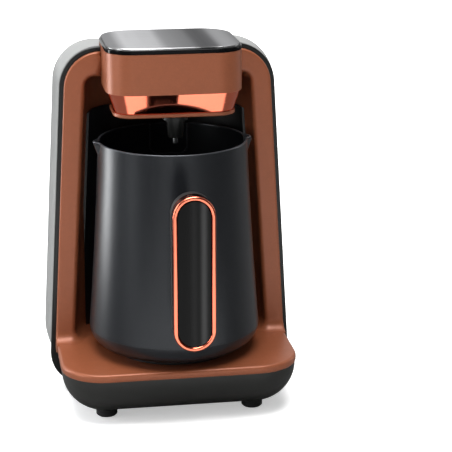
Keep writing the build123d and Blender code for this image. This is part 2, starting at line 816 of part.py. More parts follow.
# ---------------------------------------------------------------- head
with BuildPart() as head_housing:
    with BuildSketch(Plane.XY.offset(band_top_z)):
        head_outline(0, head_rear_y, head_rear_corner)
    extrude(amount=head_top_z - band_top_z)
    block((-head_half, head_half), (head_low_rear_y, head_rear_y),
          (band_top_z, head_top_z - head_collar), Mode.SUBTRACT)
    # Inside: open to the rear above the niche
    with BuildSketch(Plane.XY.offset(band_top_z)):
        head_outline(head_wall, head_low_rear_y, head_low_rear_corner)
    extrude(amount=tank_shelf_z - small_gap - band_top_z, mode=Mode.SUBTRACT)
    with BuildSketch(Plane.XY.offset(tank_shelf_z - small_gap)):
        head_outline(head_wall, head_rear_y, head_rear_corner)
    extrude(amount=head_top_z - tank_shelf_z + small_gap, mode=Mode.SUBTRACT)
    # Knuckles of the lid hinge on short arms
    for side in (-1, 1):
        ends = sorted((side * (hinge_middle_half + small_gap), side * hinge_half))
        sideways(hinge_radius, ends[0], ends[1], [(hinge_y, hinge_z)])
        block(ends, (head_rear_y - head_wall, hinge_y),
              (head_top_z - hinge_arm_height, head_top_z - hinge_arm_gap))
    block((-neck_half - small_gap, neck_half + small_gap), (head_rear_y - 2 * head_wall, hinge_y),
          (tank_shelf_z - 1, tank_shelf_z + neck_height), Mode.SUBTRACT)
    sideways(hinge_pin_radius + hinge_fit, -hinge_half, hinge_half, [(hinge_y, hinge_z)], Mode.SUBTRACT)
save(head_housing, "head_housing")

with BuildPart() as copper_band:
    for z, step in ((band_bottom_z, band_bottom_step), (band_top_z, band_top_step)):
        with BuildSketch(Plane.XY.offset(z)):
            head_outline(step, head_low_rear_y, head_low_rear_corner)
    loft(ruled=True)
    for z, step in ((band_bottom_z, band_bottom_step), (band_top_z, band_top_step)):
        with BuildSketch(Plane.XY.offset(z)):
            head_outline(step + band_wall, head_low_rear_y, head_low_rear_corner)
    loft(ruled=True, mode=Mode.SUBTRACT)
save(copper_band, "copper_band")

# Painted plate that closes the head from below
with BuildPart() as head_underplate:
    with BuildSketch(Plane.XY.offset(lip_z)):
        head_outline(lip_step, head_low_rear_y, head_low_rear_corner)
    extrude(amount=lip_thickness)
    fillet(head_underplate.edges().group_by(Axis.Z)[0], lip_edge)
    upright(nozzle_top_radius + small_gap / 3, lip_z - 1, band_bottom_z, [(0, nozzle_y)], Mode.SUBTRACT)
    upright(window_radius + small_gap / 3, lip_z - 1, band_bottom_z, [window_place], Mode.SUBTRACT)
save(head_underplate, "head_underplate")

# Lens and board that watch the foam rise in the pot
window_top_z = band_bottom_z + window_flange_height
with BuildPart() as sensor_window:
    upright(window_radius, lip_z - window_reach, band_bottom_z, [window_place])
    upright(window_radius + window_flange, band_bottom_z, window_top_z, [window_place])
    fillet(sensor_window.edges().group_by(Axis.Z)[0], window_edge)
save(sensor_window, "sensor_window")

with BuildPart() as foam_sensor:
    box_on(window_place, foam_board, window_top_z + foam_board_gap)
    upright(foam_eye_radius, window_top_z + small_gap / 3, window_top_z + foam_board_gap, [window_place])
save(foam_sensor, "foam_sensor")

# Nozzle and its steel outlet
nozzle_spigot_x = -nozzle_top_radius - spigot_length
with BuildPart() as nozzle:
    upright(nozzle_flange_radius, lip_z - nozzle_flange, lip_z - seam_gap, [(0, nozzle_y)])
    with BuildSketch(Plane.XY.offset(nozzle_bottom_z)):
        with Locations((0, nozzle_y)):
            Circle(nozzle_bottom_radius)
    with BuildSketch(Plane.XY.offset(lip_z - nozzle_flange)):
        with Locations((0, nozzle_y)):
            Circle(nozzle_top_radius)
    loft()
    upright(nozzle_top_radius, lip_z - nozzle_flange, nozzle_head_z, [(0, nozzle_y)])
    # Spigot for the feed hose, and the way from it down to the outlet
    sideways(spigot_radius, nozzle_spigot_x, 0, [(nozzle_y, hose_low_z)])
    sideways(hose_bore, nozzle_spigot_x, outlet_bore, [(nozzle_y, hose_low_z)], Mode.SUBTRACT)
    upright(outlet_bore, outlet_top_z, hose_low_z, [(0, nozzle_y)], Mode.SUBTRACT)
    upright(outlet_radius, 0, outlet_top_z, [(0, nozzle_y)], Mode.SUBTRACT)
save(nozzle, "nozzle")

with BuildPart() as outlet_tube:
    upright(outlet_radius, outlet_end_z, outlet_top_z, [(0, nozzle_y)])
    upright(outlet_bore, outlet_end_z, outlet_top_z, [(0, nozzle_y)], Mode.SUBTRACT)
save(outlet_tube, "outlet_tube")

# ---------------------------------------------------------------- lid over the tank
lid_seal_z = tank_top_z + small_gap + lid_seal_height


def lid_rim(low_z, high_z):
    """Ring over the edge of the tank, between two heights."""
    with BuildSketch(Plane.XY.offset(low_z)) as ring:
        for inset, mode in ((0, Mode.ADD), (lid_rim_width, Mode.SUBTRACT)):
            with Locations((0, (tank_front_y + tank_rear_y) / 2)):
                RectangleRounded(2 * (tank_half - inset), tank_rear_y - tank_front_y - 2 * inset,
                                 tank_corner - inset, mode=mode)
    extrude(ring.sketch, amount=high_z - low_z)


with BuildPart() as lid_frame:
    with BuildSketch(Plane.XY.offset(lid_z)):
        head_outline(0, head_rear_y, head_rear_corner)
    extrude(amount=lid_thickness)
    fillet(lid_frame.edges().group_by(Axis.Z)[-1], lid_edge)
    # Rim over the edge of the tank
    lid_rim(lid_seal_z, lid_z)
    # Knuckle of the hinge
    sideways(hinge_radius, -hinge_middle_half, hinge_middle_half, [(hinge_y, hinge_z)])
    block((-hinge_middle_half, hinge_middle_half), (head_rear_y - head_wall, hinge_y),
          (lid_z, hinge_z + hinge_radius - lid_knuckle_step))
    sideways(hinge_pin_radius + hinge_fit, -hinge_half, hinge_half, [(hinge_y, hinge_z)], Mode.SUBTRACT)
save(lid_frame, "lid_frame")

with BuildPart() as lid_plate:
    with BuildSketch(Plane.XY.offset(lid_plate_z)):
        head_outline(lid_plate_step, head_rear_y, head_rear_corner)
    extrude(amount=lid_plate_thickness)
    fillet(lid_plate.edges().group_by(Axis.Z)[-1], lid_plate_thickness / 2)
save(lid_plate, "lid_plate")

with BuildPart() as lid_seal:
    lid_rim(tank_top_z + small_gap, lid_seal_z)
save(lid_seal, "lid_seal")

with BuildPart() as hinge_pin:
    sideways(hinge_pin_radius, -hinge_half, hinge_half, [(hinge_y, hinge_z)])
save(hinge_pin, "hinge_pin")

# ---------------------------------------------------------------- water
tank_blocks = [
    ((-tank_half, tank_half), (tank_front_y, tank_step_y), (tank_floor_z, tank_top_z)),
    ((-tank_half, tank_half), (tank_front_y, tank_rear_y), (tank_shelf_z, tank_top_z)),
    ((-neck_half, neck_half), (tank_step_y, neck_rear_y), (tank_shelf_z, tank_shelf_z + neck_height)),
    ((-neck_half, neck_half), (sump_front_y, neck_rear_y),
     (sump_high_z - sump_overlap, tank_shelf_z + neck_height)),
    ((-tank_half, tank_half), (sump_front_y, sump_rear_y), (sump_low_z, sump_high_z)),
]
with BuildPart() as water_tank:
    for x, y, z in tank_blocks:
        block(x, y, z)
    fillet(water_tank.edges().filter_by(Axis.Z).filter_by(lambda e: e.length > tank_shelf + tank_wall),
           tank_corner)
    upright(spigot_radius, sump_low_z - spigot_length, sump_low_z + tank_wall, [(spigot_x, hose_y)])
    for x, y, z in tank_blocks:
        block((x[0] + tank_wall, x[1] - tank_wall), (y[0] + tank_wall, y[1] - tank_wall),
              (z[0] + tank_wall, z[1] - tank_wall), Mode.SUBTRACT)
    block((-tank_half + tank_wall, tank_half - tank_wall),
          (tank_front_y + tank_wall, tank_rear_y - tank_wall),
          (tank_top_z - 2 * tank_wall, tank_top_z), Mode.SUBTRACT)
    upright(hose_bore, sump_low_z - spigot_length, sump_low_z + tank_wall, [(spigot_x, hose_y)],
            Mode.SUBTRACT)
save(water_tank, "water_tank")

pump_port_z = pump_z + pump_head_half
with BuildPart() as water_pump:
    sideways(pump_radius, pump_left_x, pump_right_x, [(pump_y, pump_z)])
    fillet(water_pump.edges().filter_by(GeomType.CIRCLE), pump_edge)
    # Heads with the outlet on the left and the inlet on the right
    for port_x, low_x, high_x in ((hose_x, hose_x - pump_head_end, pump_left_x),
                                  (spigot_x, pump_right_x, spigot_x + pump_head_end)):
        block((low_x, high_x), (hose_y - pump_head_front, hose_y + pump_head_rear),
              (pump_z - pump_head_half, pump_port_z))
        upright(spigot_radius, pump_port_z, pump_port_z + spigot_length, [(port_x, hose_y)])
        upright(hose_bore, pump_z, pump_port_z + spigot_length, [(port_x, hose_y)], Mode.SUBTRACT)
save(water_pump, "water_pump")

with BuildPart() as pump_cradle:
    block((pump_left_x + cradle_inset, pump_right_x - cradle_inset),
          (pump_y - cradle_half, pump_y + cradle_half),
          (pump_z - pump_radius - cradle_grip, pump_z - cradle_grip))
    sideways(pump_radius + cradle_fit, pump_left_x, pump_right_x, [(pump_y, pump_z)], Mode.SUBTRACT)
    block((cradle_boss[0] - cradle_leg_half, cradle_boss[0] + cradle_leg_half),
          (cradle_rear_y - cradle_leg_thickness, cradle_rear_y),
          (cradle_low_z, pump_z - pump_radius - cradle_grip))
    lying(screw_radius, cradle_rear_y - cradle_leg_thickness, cradle_rear_y, [cradle_boss], Mode.SUBTRACT)
save(pump_cradle, "pump_cradle")

with BuildPart() as cradle_screw:
    head_y = cradle_rear_y - cradle_leg_thickness
    lying(screw_head_radius, head_y - screw_head, head_y, [cradle_boss])
    lying(screw_radius - screw_fit, head_y, shell_inside_y - small_gap, [cradle_boss])
save(cradle_screw, "cradle_screw")


def hose(route):
    """Silicone hose swept along a wire."""
    with BuildSketch(Plane(route @ 0, z_dir=route % 0)) as ring:
        Circle(hose_radius)
        Circle(hose_bore + hose_fit, mode=Mode.SUBTRACT)
    sweep(ring.sketch, path=route)


with BuildPart() as suction_hose:
    with BuildLine() as route:
        Line((spigot_x, hose_y, pump_port_z), (spigot_x, hose_y, sump_low_z))
    hose(route.line)
    for low_z, high_z in ((pump_port_z, pump_port_z + spigot_length),
                          (sump_low_z - spigot_length, sump_low_z)):
        upright(spigot_radius, low_z, high_z, [(spigot_x, hose_y)], Mode.SUBTRACT)
save(suction_hose, "suction_hose")

with BuildPart() as feed_hose:
    with BuildLine() as route:
        FilletPolyline((hose_x, hose_y, pump_port_z), (hose_x, hose_y, hose_high_z),
                       (hose_x, hose_down_y, hose_high_z), (hose_x, hose_down_y, hose_low_z),
                       (hose_x, nozzle_y, hose_low_z), (-nozzle_top_radius, nozzle_y, hose_low_z),
                       radius=hose_bend)
    hose(route.line)
    upright(spigot_radius, pump_port_z, pump_port_z + spigot_length, [(hose_x, hose_y)], Mode.SUBTRACT)
    sideways(spigot_radius, nozzle_spigot_x, 0, [(nozzle_y, hose_low_z)], Mode.SUBTRACT)
save(feed_hose, "feed_hose")

# ---------------------------------------------------------------- electrics
with BuildPart() as cord_gland:
    lying(gland_flange_radius, shell_back_y, shell_back_y + gland_flange, [(gland_x, gland_z)])
    lying(gland_radius - small_gap / 3, shell_back_y - gland_depth, shell_back_y, [(gland_x, gland_z)])
    chamfer(cord_gland.edges().filter_by(GeomType.CIRCLE).group_by(Axis.Y)[-1], gland_edge)
    lying(gland_bore, shell_back_y - gland_depth - 1, shell_back_y + gland_flange + 1,
          [(gland_x, gland_z)], Mode.SUBTRACT)
save(cord_gland, "cord_gland")

with BuildPart() as power_board:
    block((-power_half, power_half), (power_front_y, power_rear_y), (power_z, power_top_z))
    upright(screw_radius, power_z - 1, power_top_z + 1, board_posts, Mode.SUBTRACT)
save(power_board, "power_board")

with BuildPart() as board_screws:
    upright(board_screw_head_radius, power_top_z, power_top_z + board_screw_head, board_posts)
    upright(screw_radius - screw_fit, power_z, power_top_z, board_posts)
save(board_screws, "board_screws")

with BuildPart() as transformer:
    box_on(transformer_place, transformer_core, power_top_z)
    chamfer(transformer.edges().filter_by(Axis.Z), part_edge)
    box_on(transformer_place, transformer_coil, power_top_z + transformer_coil_rise)
save(transformer, "transformer")

with BuildPart() as heater_relay:
    box_on(relay_place, relay_size, power_top_z)
    fillet(heater_relay.edges().group_by(Axis.Z)[-1], part_edge)
save(heater_relay, "heater_relay")

terminal_front_y = terminal_place[1] - terminal_size[1] / 2
terminal_hole_z = power_top_z + terminal_hole_rise
with BuildPart() as terminal_block:
    box_on(terminal_place, terminal_size, power_top_z)
    lying(terminal_hole_radius, terminal_front_y, terminal_front_y + terminal_hole_depth,
          [(terminal_place[0] + side * terminal_pitch / 2, terminal_hole_z) for side in (-1, 1)],
          Mode.SUBTRACT)
save(terminal_block, "terminal_block")



def lead_route(angle, turn, side, drop, rise_gap):
    """Lead from one end of the element down through the shield and up into the terminal block."""
    x, y = element_radius * cos(radians(angle)), pot_y + element_radius * sin(radians(angle))
    bend_x, bend_y = x - turn * lead_bend * sin(radians(angle)), y + turn * lead_bend * cos(radians(angle))
    gather_z, low_z = shield_z + lead_gather, shield_z - drop
    hole_x, hole_y = shield_cable[0] + side * wire_spread, shield_cable[1]
    pole_x, rise_y = terminal_place[0] + side * terminal_pitch / 2, power_front_y - rise_gap
    return [(x, y, element_z), (bend_x, bend_y, element_z), (bend_x, bend_y, gather_z),
            (hole_x, hole_y, gather_z), (hole_x, hole_y, low_z), (pole_x, rise_y, low_z),
            (pole_x, rise_y, terminal_hole_z), (pole_x, terminal_front_y + lead_depth, terminal_hole_z)]


# Leads of the heating element: its gap lies on the right, behind the middle
lead_routes = (lead_route(90, -1, -1, lead_drops[0], lead_turns[0]),
               lead_route(90 - element_gap_angle, 1, 1, lead_drops[1], lead_turns[1]))
with BuildPart() as heater_leads:
    for points in lead_routes:
        with BuildLine() as lead:
            FilletPolyline(*points, radius=lead_corner)
        with BuildSketch(Plane(lead.line @ 0, z_dir=lead.line % 0)) as section:
            Circle(wire_radius)
        sweep(section.sketch, path=lead.line)
save(heater_leads, "heater_leads")

# ---------------------------------------------------------------- controls on the right-hand side
with BuildPart() as control_panel:
    add(shell_form(control_plate, shell_floor_z, shell_back_y))
    add(shell_form(control_seat, shell_floor_z, shell_back_y), mode=Mode.SUBTRACT)
    with BuildSketch(Plane.YZ.offset(board_x)):
        with Locations((panel_y, (control_low_z + control_high_z) / 2)):
            RectangleRounded(2 * control_half_y, control_high_z - control_low_z, control_corner)
    extrude(amount=arch_half, mode=Mode.INTERSECT)
    sideways(button_radius + button_clearance, board_x, 2 * board_x,
             [(panel_y, z) for z in button_zs.values()], Mode.SUBTRACT)
    sideways(light_pipe_radius + small_gap / 3, board_x, 2 * board_x,
             [(panel_y, z) for z in light_pipe_zs], Mode.SUBTRACT)
save(control_panel, "control_panel")

button_places = [(panel_y, z) for z in button_zs.values()]

with BuildPart() as control_board:
    block((board_x, board_face_x), (panel_y - board_half_y, panel_y + board_half_y),
          (board_low_z, board_high_z))
    sideways(screw_radius, board_x - 1, board_face_x + 1, side_posts, Mode.SUBTRACT)
save(control_board, "control_board")

with BuildPart() as side_screws:
    sideways(side_screw_head_radius, board_x - side_screw_head, board_x, side_posts)
    sideways(screw_radius - screw_fit, board_x, board_face_x, side_posts)
save(side_screws, "side_screws")

with BuildPart() as switches:
    for y, z in button_places:
        block((board_face_x, board_face_x + switch_height), (y - switch_half, y + switch_half),
              (z - switch_half, z + switch_half))
    sideways(plunger_radius, board_face_x + switch_height, switch_top_x, button_places)
save(switches, "switches")

with BuildPart() as indicator_leds:
    sideways(light_pipe_radius, board_face_x, board_face_x + led_height,
             [(panel_y, z) for z in light_pipe_zs])
save(indicator_leds, "indicator_leds")

with BuildPart() as light_pipes:
    for z in light_pipe_zs:
        with BuildPart() as pipe:
            sideways(light_pipe_radius, board_face_x + led_height + small_gap,
                     shell_side(z) + control_plate + light_pipe_proud, [(panel_y, z)])
            fillet(pipe.edges().group_by(Axis.X)[-1], light_pipe_edge)
save(light_pipes, "light_pipes")

with BuildPart() as buzzer:
    sideways(buzzer_radius, board_x - buzzer_height, board_x, [(panel_y, buzzer_z)])
    sideways(buzzer_hole_radius, board_x - buzzer_height, board_x - buzzer_height + buzzer_hole_depth,
             [(panel_y, buzzer_z)], Mode.SUBTRACT)
save(buzzer, "buzzer")

for label, z in button_zs.items():
    flange_x = shell_side(z) - shell_wall - flange_gap
    face_x = shell_side(z) + control_plate + button_proud
    with BuildPart() as button:
        sideways(button_radius, flange_x, face_x, [(panel_y, z)])
        fillet(button.edges().group_by(Axis.X)[-1], button_edge)
        sideways(button_flange_radius, flange_x - button_flange, flange_x, [(panel_y, z)])
        sideways(stem_radius, switch_top_x + button_travel + press_gap, flange_x - button_flange,
                 [(panel_y, z)])
    save(button, f"{label}_button")

    with BuildPart() as spring:
        coil_start = board_face_x + spring_wire + press_gap
        coil_end = flange_x - button_flange - spring_wire - press_gap
        with BuildLine() as coil:
            Helix((coil_end - coil_start) / spring_turns, coil_end - coil_start, spring_radius,
                  center=(coil_start, panel_y, z), direction=(1, 0, 0))
        with BuildSketch(Plane(coil.line @ 0, z_dir=coil.line % 0)) as wire:
            Circle(spring_wire)
        sweep(wire.sketch, path=coil.line, is_frenet=True)
    save(spring, f"{label}_spring")

# ---------------------------------------------------------------- pot


def pot_radius_at(z):
    """Outer radius of the pot: it widens downwards, faster near the seam."""
    fall = (pot_rim_z - z) / (pot_rim_z - pot_seam_z)
    return pot_rim_radius + (pot_seam_radius - pot_rim_radius) * max(fall, 0.0) ** pot_curve


def pot_form(grow, seam_z, floor_z):
    """Solid pot with its wall moved outwards by grow, stepped in at the seam above its base."""
    heights = [seam_z + (pot_rim_z - seam_z) * k / pot_profile_steps
               for k in range(pot_profile_steps + 1)]
    with BuildSketch(Plane.XZ.offset(-pot_y)) as half:
        with BuildLine() as edge:
            side = Spline(*[(pot_radius_at(z) + grow, z) for z in heights])
            seam = Line(side @ 0, (pot_seam_radius + grow - bowl_step, seam_z))
            bowl = RadiusArc(seam @ 1, (pot_bottom_radius + grow - bowl_step, floor_z), bowl_radius)
            Polyline(bowl @ 1, (0, floor_z), (0, pot_rim_z), side @ 1)
        make_face(edge.edges())
    return revolve(half.sketch, axis=Axis((0, pot_y, 0), (0, 0, 1)), mode=Mode.PRIVATE)


def spout_form(side, shrink, rise):
    """Pouring lip on one side: a wedge that fades into the wall lower down."""
    tip = pot_rim_radius + spout_reach - shrink
    sections = []
    for z, reach, half in ((pot_rim_z - spout_drop, tip - spout_fade, spout_half / 3),
                           (pot_rim_z + rise, tip, spout_half)):
        with BuildSketch(Plane.XY.offset(z)) as wedge:
            with Locations((0, pot_y)):
                with BuildLine() as edge:
                    Polyline((side * reach, 0), (side * spout_root, half - shrink),
                             (side * spout_root, shrink - half), close=True)
                make_face(edge.edges())
            fillet(wedge.vertices().sort_by(Axis.X)[-1 if side > 0 else 0], spout_tip - shrink)
        sections.append(wedge.sketch)
    return loft(sections, ruled=True, mode=Mode.PRIVATE)


with BuildPart() as pot_body:
    add(pot_form(0, pot_seam_z, pot_floor_z))
    for side in (-1, 1):
        add(spout_form(side, 0, 0))
    add(pot_form(-pot_wall, pot_seam_z + pot_wall, pot_floor_z + pot_wall), mode=Mode.SUBTRACT)
    for side in (-1, 1):
        add(spout_form(side, pot_wall, 0), mode=Mode.SUBTRACT)
save(pot_body, "pot_body")

# Base of the pot: a thick ring and disc around the bowl, flush with the wall above the seam
with BuildPart() as pot_base:
    with BuildSketch(Plane.XZ.offset(-pot_y)):
        with BuildLine():
            skirt = RadiusArc((pot_seam_radius, pot_seam_z - seam_gap),
                              (pot_bottom_radius, pot_bottom_z), skirt_radius)
            Polyline(skirt @ 1, (0, pot_bottom_z), (0, pot_seam_z - seam_gap), skirt @ 0)
        make_face()
    revolve(axis=Axis((0, pot_y, 0), (0, 0, 1)))
    add(pot_form(seam_gap, pot_seam_z, pot_floor_z - seam_gap), mode=Mode.SUBTRACT)
save(pot_base, "pot_base")

# Raised filling mark inside the rear wall
with BuildPart() as fill_mark:
    mark_low_z = pot_rim_z - level_drop
    with BuildSketch(front_plane(pot_y)):
        for grow, mode in ((0, Mode.ADD), (level_line, Mode.SUBTRACT)):
            with BuildSketch(front_plane(pot_y), mode=mode) as mark:
                with Locations((level_x, mark_low_z + grow)):
                    Rectangle(2 * (level_half - grow), 2 * level_drop, align=(Align.CENTER, Align.MIN))
                fillet(mark.vertices().group_by(Axis.Y)[0], level_corner - grow)
    extrude(amount=-pot_rim_radius)
    add(pot_form(-pot_wall - seam_gap, pot_seam_z, pot_floor_z), mode=Mode.INTERSECT)
    add(pot_form(-pot_wall - level_height, pot_seam_z, pot_floor_z), mode=Mode.SUBTRACT)
save(fill_mark, "fill_mark")

# ---------------------------------------------------------------- handle of the pot
handle_high_z = pot_rim_z - handle_drop
upper_arm_z = pot_rim_z - upper_arm_drop
ring_rear_y = handle_front_y + ring_depth
grip_rear_y = ring_rear_y + grip_depth
handle_arms = ((upper_arm_z, upper_arm_height), (lower_arm_z, lower_arm_height))
pad_y = handle_front_y + inlay_sunk + inlay_thickness + seam_gap

with BuildPart() as handle_ring:
    with BuildSketch(front_plane(handle_front_y)):
        stadium(handle_half, handle_low_z, handle_high_z)
        with Locations((0, (handle_low_z + handle_high_z) / 2)):
            SlotOverall(handle_high_z - handle_low_z - 2 * ring_limb, 2 * (handle_half - ring_limb),
                        rotation=90, mode=Mode.SUBTRACT)
    extrude(amount=-ring_depth)
    fillet(handle_ring.edges().group_by(Axis.Y)[0], ring_edge)
save(handle_ring, "handle_ring")

inlay_half = handle_half - ring_limb - seam_gap
with BuildPart() as handle_inlay:
    with BuildSketch(front_plane(handle_front_y + inlay_sunk)):
        stadium(inlay_half, handle_low_z + ring_limb + seam_gap, handle_high_z - ring_limb - seam_gap)
    extrude(amount=-inlay_thickness)
    fillet(handle_inlay.edges().group_by(Axis.Y)[0], ring_edge / 2)
save(handle_inlay, "handle_inlay")


def bracket_front_y(z):
    """Flat front of the bracket welded to the pot at the height z."""
    return pot_y - pot_radius_at(z) - bracket_thickness


with BuildPart() as handle_grip:
    with BuildSketch(front_plane(ring_rear_y)):
        stadium(handle_half - small_gap, handle_low_z + small_gap, handle_high_z - small_gap)
    extrude(amount=-grip_depth)
    fillet(handle_grip.edges().group_by(Axis.Y)[-1], grip_round)
    with BuildSketch(front_plane(pad_y)):
        stadium(inlay_half, handle_low_z + ring_limb + seam_gap, handle_high_z - ring_limb - seam_gap)
    extrude(amount=pad_y - ring_rear_y)
    for z, height in handle_arms:
        with BuildSketch(front_plane(grip_rear_y - arm_root)):
            with Locations((0, z)):
                RectangleRounded(2 * arm_half, height, arm_corner)
        extrude(amount=grip_rear_y - arm_root - bracket_front_y(z + height / 2) + seam_gap)
        lying(screw_head_radius + small_gap, pad_y, pad_y + 2 * screw_head, [(0, z)], Mode.SUBTRACT)
        lying(screw_radius + small_gap, pad_y, pot_y, [(0, z)], Mode.SUBTRACT)
save(handle_grip, "handle_grip")

with BuildPart() as handle_brackets:
    for z, height in handle_arms:
        with BuildSketch(front_plane(bracket_front_y(z + height / 2))):
            with Locations((0, z)):
                RectangleRounded(2 * (arm_half + bracket_step), height + 2 * bracket_step,
                                 arm_corner + bracket_step)
        extrude(amount=-pot_rim_radius / 2)
    add(pot_form(seam_gap, pot_seam_z, pot_floor_z), mode=Mode.SUBTRACT)
    for z, height in handle_arms:
        lying(screw_radius - post_pilot, bracket_front_y(z + height / 2) - arm_root,
              bracket_front_y(z) + bracket_hole, [(0, z)], Mode.SUBTRACT)
save(handle_brackets, "handle_brackets")

with BuildPart() as handle_screws:
    screw_y = pad_y + screw_head
    for z, _ in handle_arms:
        lying(screw_head_radius, screw_y, screw_y + screw_head, [(0, z)])
        lying(screw_radius - screw_fit, screw_y + screw_head,
              bracket_front_y(z) + bracket_hole - bracket_hole_end, [(0, z)])
save(handle_screws, "handle_screws")
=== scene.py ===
from math import atan2, cos, hypot, pi, radians, sin, sqrt

import bmesh
import bpy
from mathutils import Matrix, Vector


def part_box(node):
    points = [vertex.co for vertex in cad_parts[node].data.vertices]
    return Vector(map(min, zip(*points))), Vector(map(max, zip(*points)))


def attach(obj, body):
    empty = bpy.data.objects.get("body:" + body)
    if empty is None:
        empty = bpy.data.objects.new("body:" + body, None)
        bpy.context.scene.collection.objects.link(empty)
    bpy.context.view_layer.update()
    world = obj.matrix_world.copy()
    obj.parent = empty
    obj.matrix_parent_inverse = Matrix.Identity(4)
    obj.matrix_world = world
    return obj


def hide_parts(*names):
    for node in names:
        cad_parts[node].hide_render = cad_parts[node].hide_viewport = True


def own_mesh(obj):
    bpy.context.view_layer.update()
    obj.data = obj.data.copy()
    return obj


# Electric Turkish coffee maker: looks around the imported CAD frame.
# Shapes are worked out in millimetres; lamps, floor and studio are in metres.

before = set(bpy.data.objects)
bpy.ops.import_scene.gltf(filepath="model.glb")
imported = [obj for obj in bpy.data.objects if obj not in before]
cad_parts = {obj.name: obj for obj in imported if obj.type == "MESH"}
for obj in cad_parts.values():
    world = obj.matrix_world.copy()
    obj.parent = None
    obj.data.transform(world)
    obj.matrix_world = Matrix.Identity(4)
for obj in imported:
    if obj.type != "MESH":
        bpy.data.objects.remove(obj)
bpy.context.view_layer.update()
scene = bpy.context.scene
MM = 0.001
WHITE = (1.0, 1.0, 1.0)


def aim(thing, place, target):
    """Sets a camera or a lamp in its place, turned to its target."""
    thing.location = place
    thing.rotation_euler = (Vector(target) - Vector(place)).to_track_quat("-Z", "Y").to_euler()
    scene.collection.objects.link(thing)


# ---------------------------------------------------------------- camera
# Fitted to the edges of the object in the photograph
CAMERA_AT = Vector((-137.3, -1029.4, 426.8)) * MM
CAMERA_TARGET = Vector((39.09, 20.0, 116.43)) * MM
FOCAL_LENGTH, SENSOR_WIDTH = 127.43, 36.0
FARTHEST_SEEN = 50.0

camera_data = bpy.data.cameras.new("camera")
camera_data.sensor_width = SENSOR_WIDTH
camera_data.lens = FOCAL_LENGTH
camera_data.clip_end = FARTHEST_SEEN
camera = bpy.data.objects.new("camera", camera_data)
aim(camera, CAMERA_AT, CAMERA_TARGET)
scene.camera = camera
scene.view_settings.view_transform = "Standard"


# ---------------------------------------------------------------- shader nodes
def surface(made):
    """Inputs of a material's shader."""
    return made.node_tree.nodes["Principled BSDF"].inputs


def new_material(name):
    made = bpy.data.materials.new(name)
    made.use_nodes = True
    return made


def plug(tree, socket, value):
    """Links another socket to this one, or sets it to a number or a colour."""
    if isinstance(value, bpy.types.NodeSocket):
        tree.links.new(value, socket)
    else:
        socket.default_value = value


def maths(tree, operation, *values):
    """One step of arithmetic on sockets and plain numbers."""
    node = tree.nodes.new("ShaderNodeMath")
    node.operation = operation
    for socket, value in zip(node.inputs, values):
        plug(tree, socket, value)
    return node.outputs["Value"]


def map_range(tree, value, source=(0.0, 1.0), target=(0.0, 1.0), smooth=False):
    """Value carried from the source range to the target range, and held at its ends."""
    node = tree.nodes.new("ShaderNodeMapRange")
    if smooth:
        node.interpolation_type = "SMOOTHSTEP"
    names = ("From Min", "From Max", "To Min", "To Max")
    for name, number in zip(names, (*source, *target)):
        node.inputs[name].default_value = number
    tree.links.new(value, node.inputs["Value"])
    return node.outputs["Result"]


def blend(tree, kind, factor, first, second, way="MIX"):
    """Two numbers (kind FLOAT) or two colours (kind RGBA) mixed by a factor."""
    node = tree.nodes.new("ShaderNodeMix")
    node.data_type = kind
    node.blend_type = way
    for name, value in (("Factor", factor), ("A", first), ("B", second)):
        plug(tree, node.inputs[name], value)
    return node.outputs["Result"]


def stretched(tree, scale):
    """Object coordinates, scaled along each axis."""
    place = tree.nodes.new("ShaderNodeTexCoord")
    mapping = tree.nodes.new("ShaderNodeMapping")
    mapping.inputs["Scale"].default_value = scale
    tree.links.new(place.outputs["Object"], mapping.inputs["Vector"])
    return mapping.outputs["Vector"]


def axes(tree, space):
    """X, Y and Z of a texture space."""
    place = tree.nodes.new("ShaderNodeTexCoord")
    split = tree.nodes.new("ShaderNodeSeparateXYZ")
    tree.links.new(place.outputs[space], split.inputs["Vector"])
    return split.outputs


def noise(tree, scale, detail, vector=None):
    node = tree.nodes.new("ShaderNodeTexNoise")
    node.inputs["Scale"].default_value = scale
    node.inputs["Detail"].default_value = detail
    if vector is not None:
        tree.links.new(vector, node.inputs["Vector"])
    return node.outputs["Fac"]


def add_bump(made, height, distance):
    tree = made.node_tree
    bump = tree.nodes.new("ShaderNodeBump")
    bump.inputs["Distance"].default_value = distance
    tree.links.new(height, bump.inputs["Height"])
    tree.links.new(bump.outputs["Normal"], surface(made)["Normal"])


# ---------------------------------------------------------------- materials
DARK_STOP, LIGHT_STOP = 0.3, 0.7             # levels of the noise with the darkest, lightest tone
TONE_DETAIL, ROUGH_DETAIL, BUMP_DETAIL = 3.0, 4.0, 2.0
ROUGH_GRAIN = 0.35                           # scale of the roughness noise, against the grain's
LEAST_ROUGH = 0.01
FLAKE_SCALE, FLAKE_FROM, FLAKE_TONE = 4200.0, 0.75, 1.9
# Tint of the painted reflection stripes on the lid and the inlay
REFLECTION_BAND_TINT = (1.0, 1.005, 1.015)
SCRATCH_SCALE, SCRATCH_DETAIL = 1400.0, 4.0
SCRATCH_STRETCH = (0.012, 1.0, 1.0)


def linear(value):
    """Linear light of an sRGB level from 0 to 255."""
    value /= 255.0
    return value / 12.92 if value <= 0.04045 else ((value + 0.055) / 1.055) ** 2.4


def srgb(r, g, b):
    return (linear(r), linear(g), linear(b), 1.0)


def tint(colour, factor):
    return (colour[0] * factor, colour[1] * factor, colour[2] * factor, 1.0)


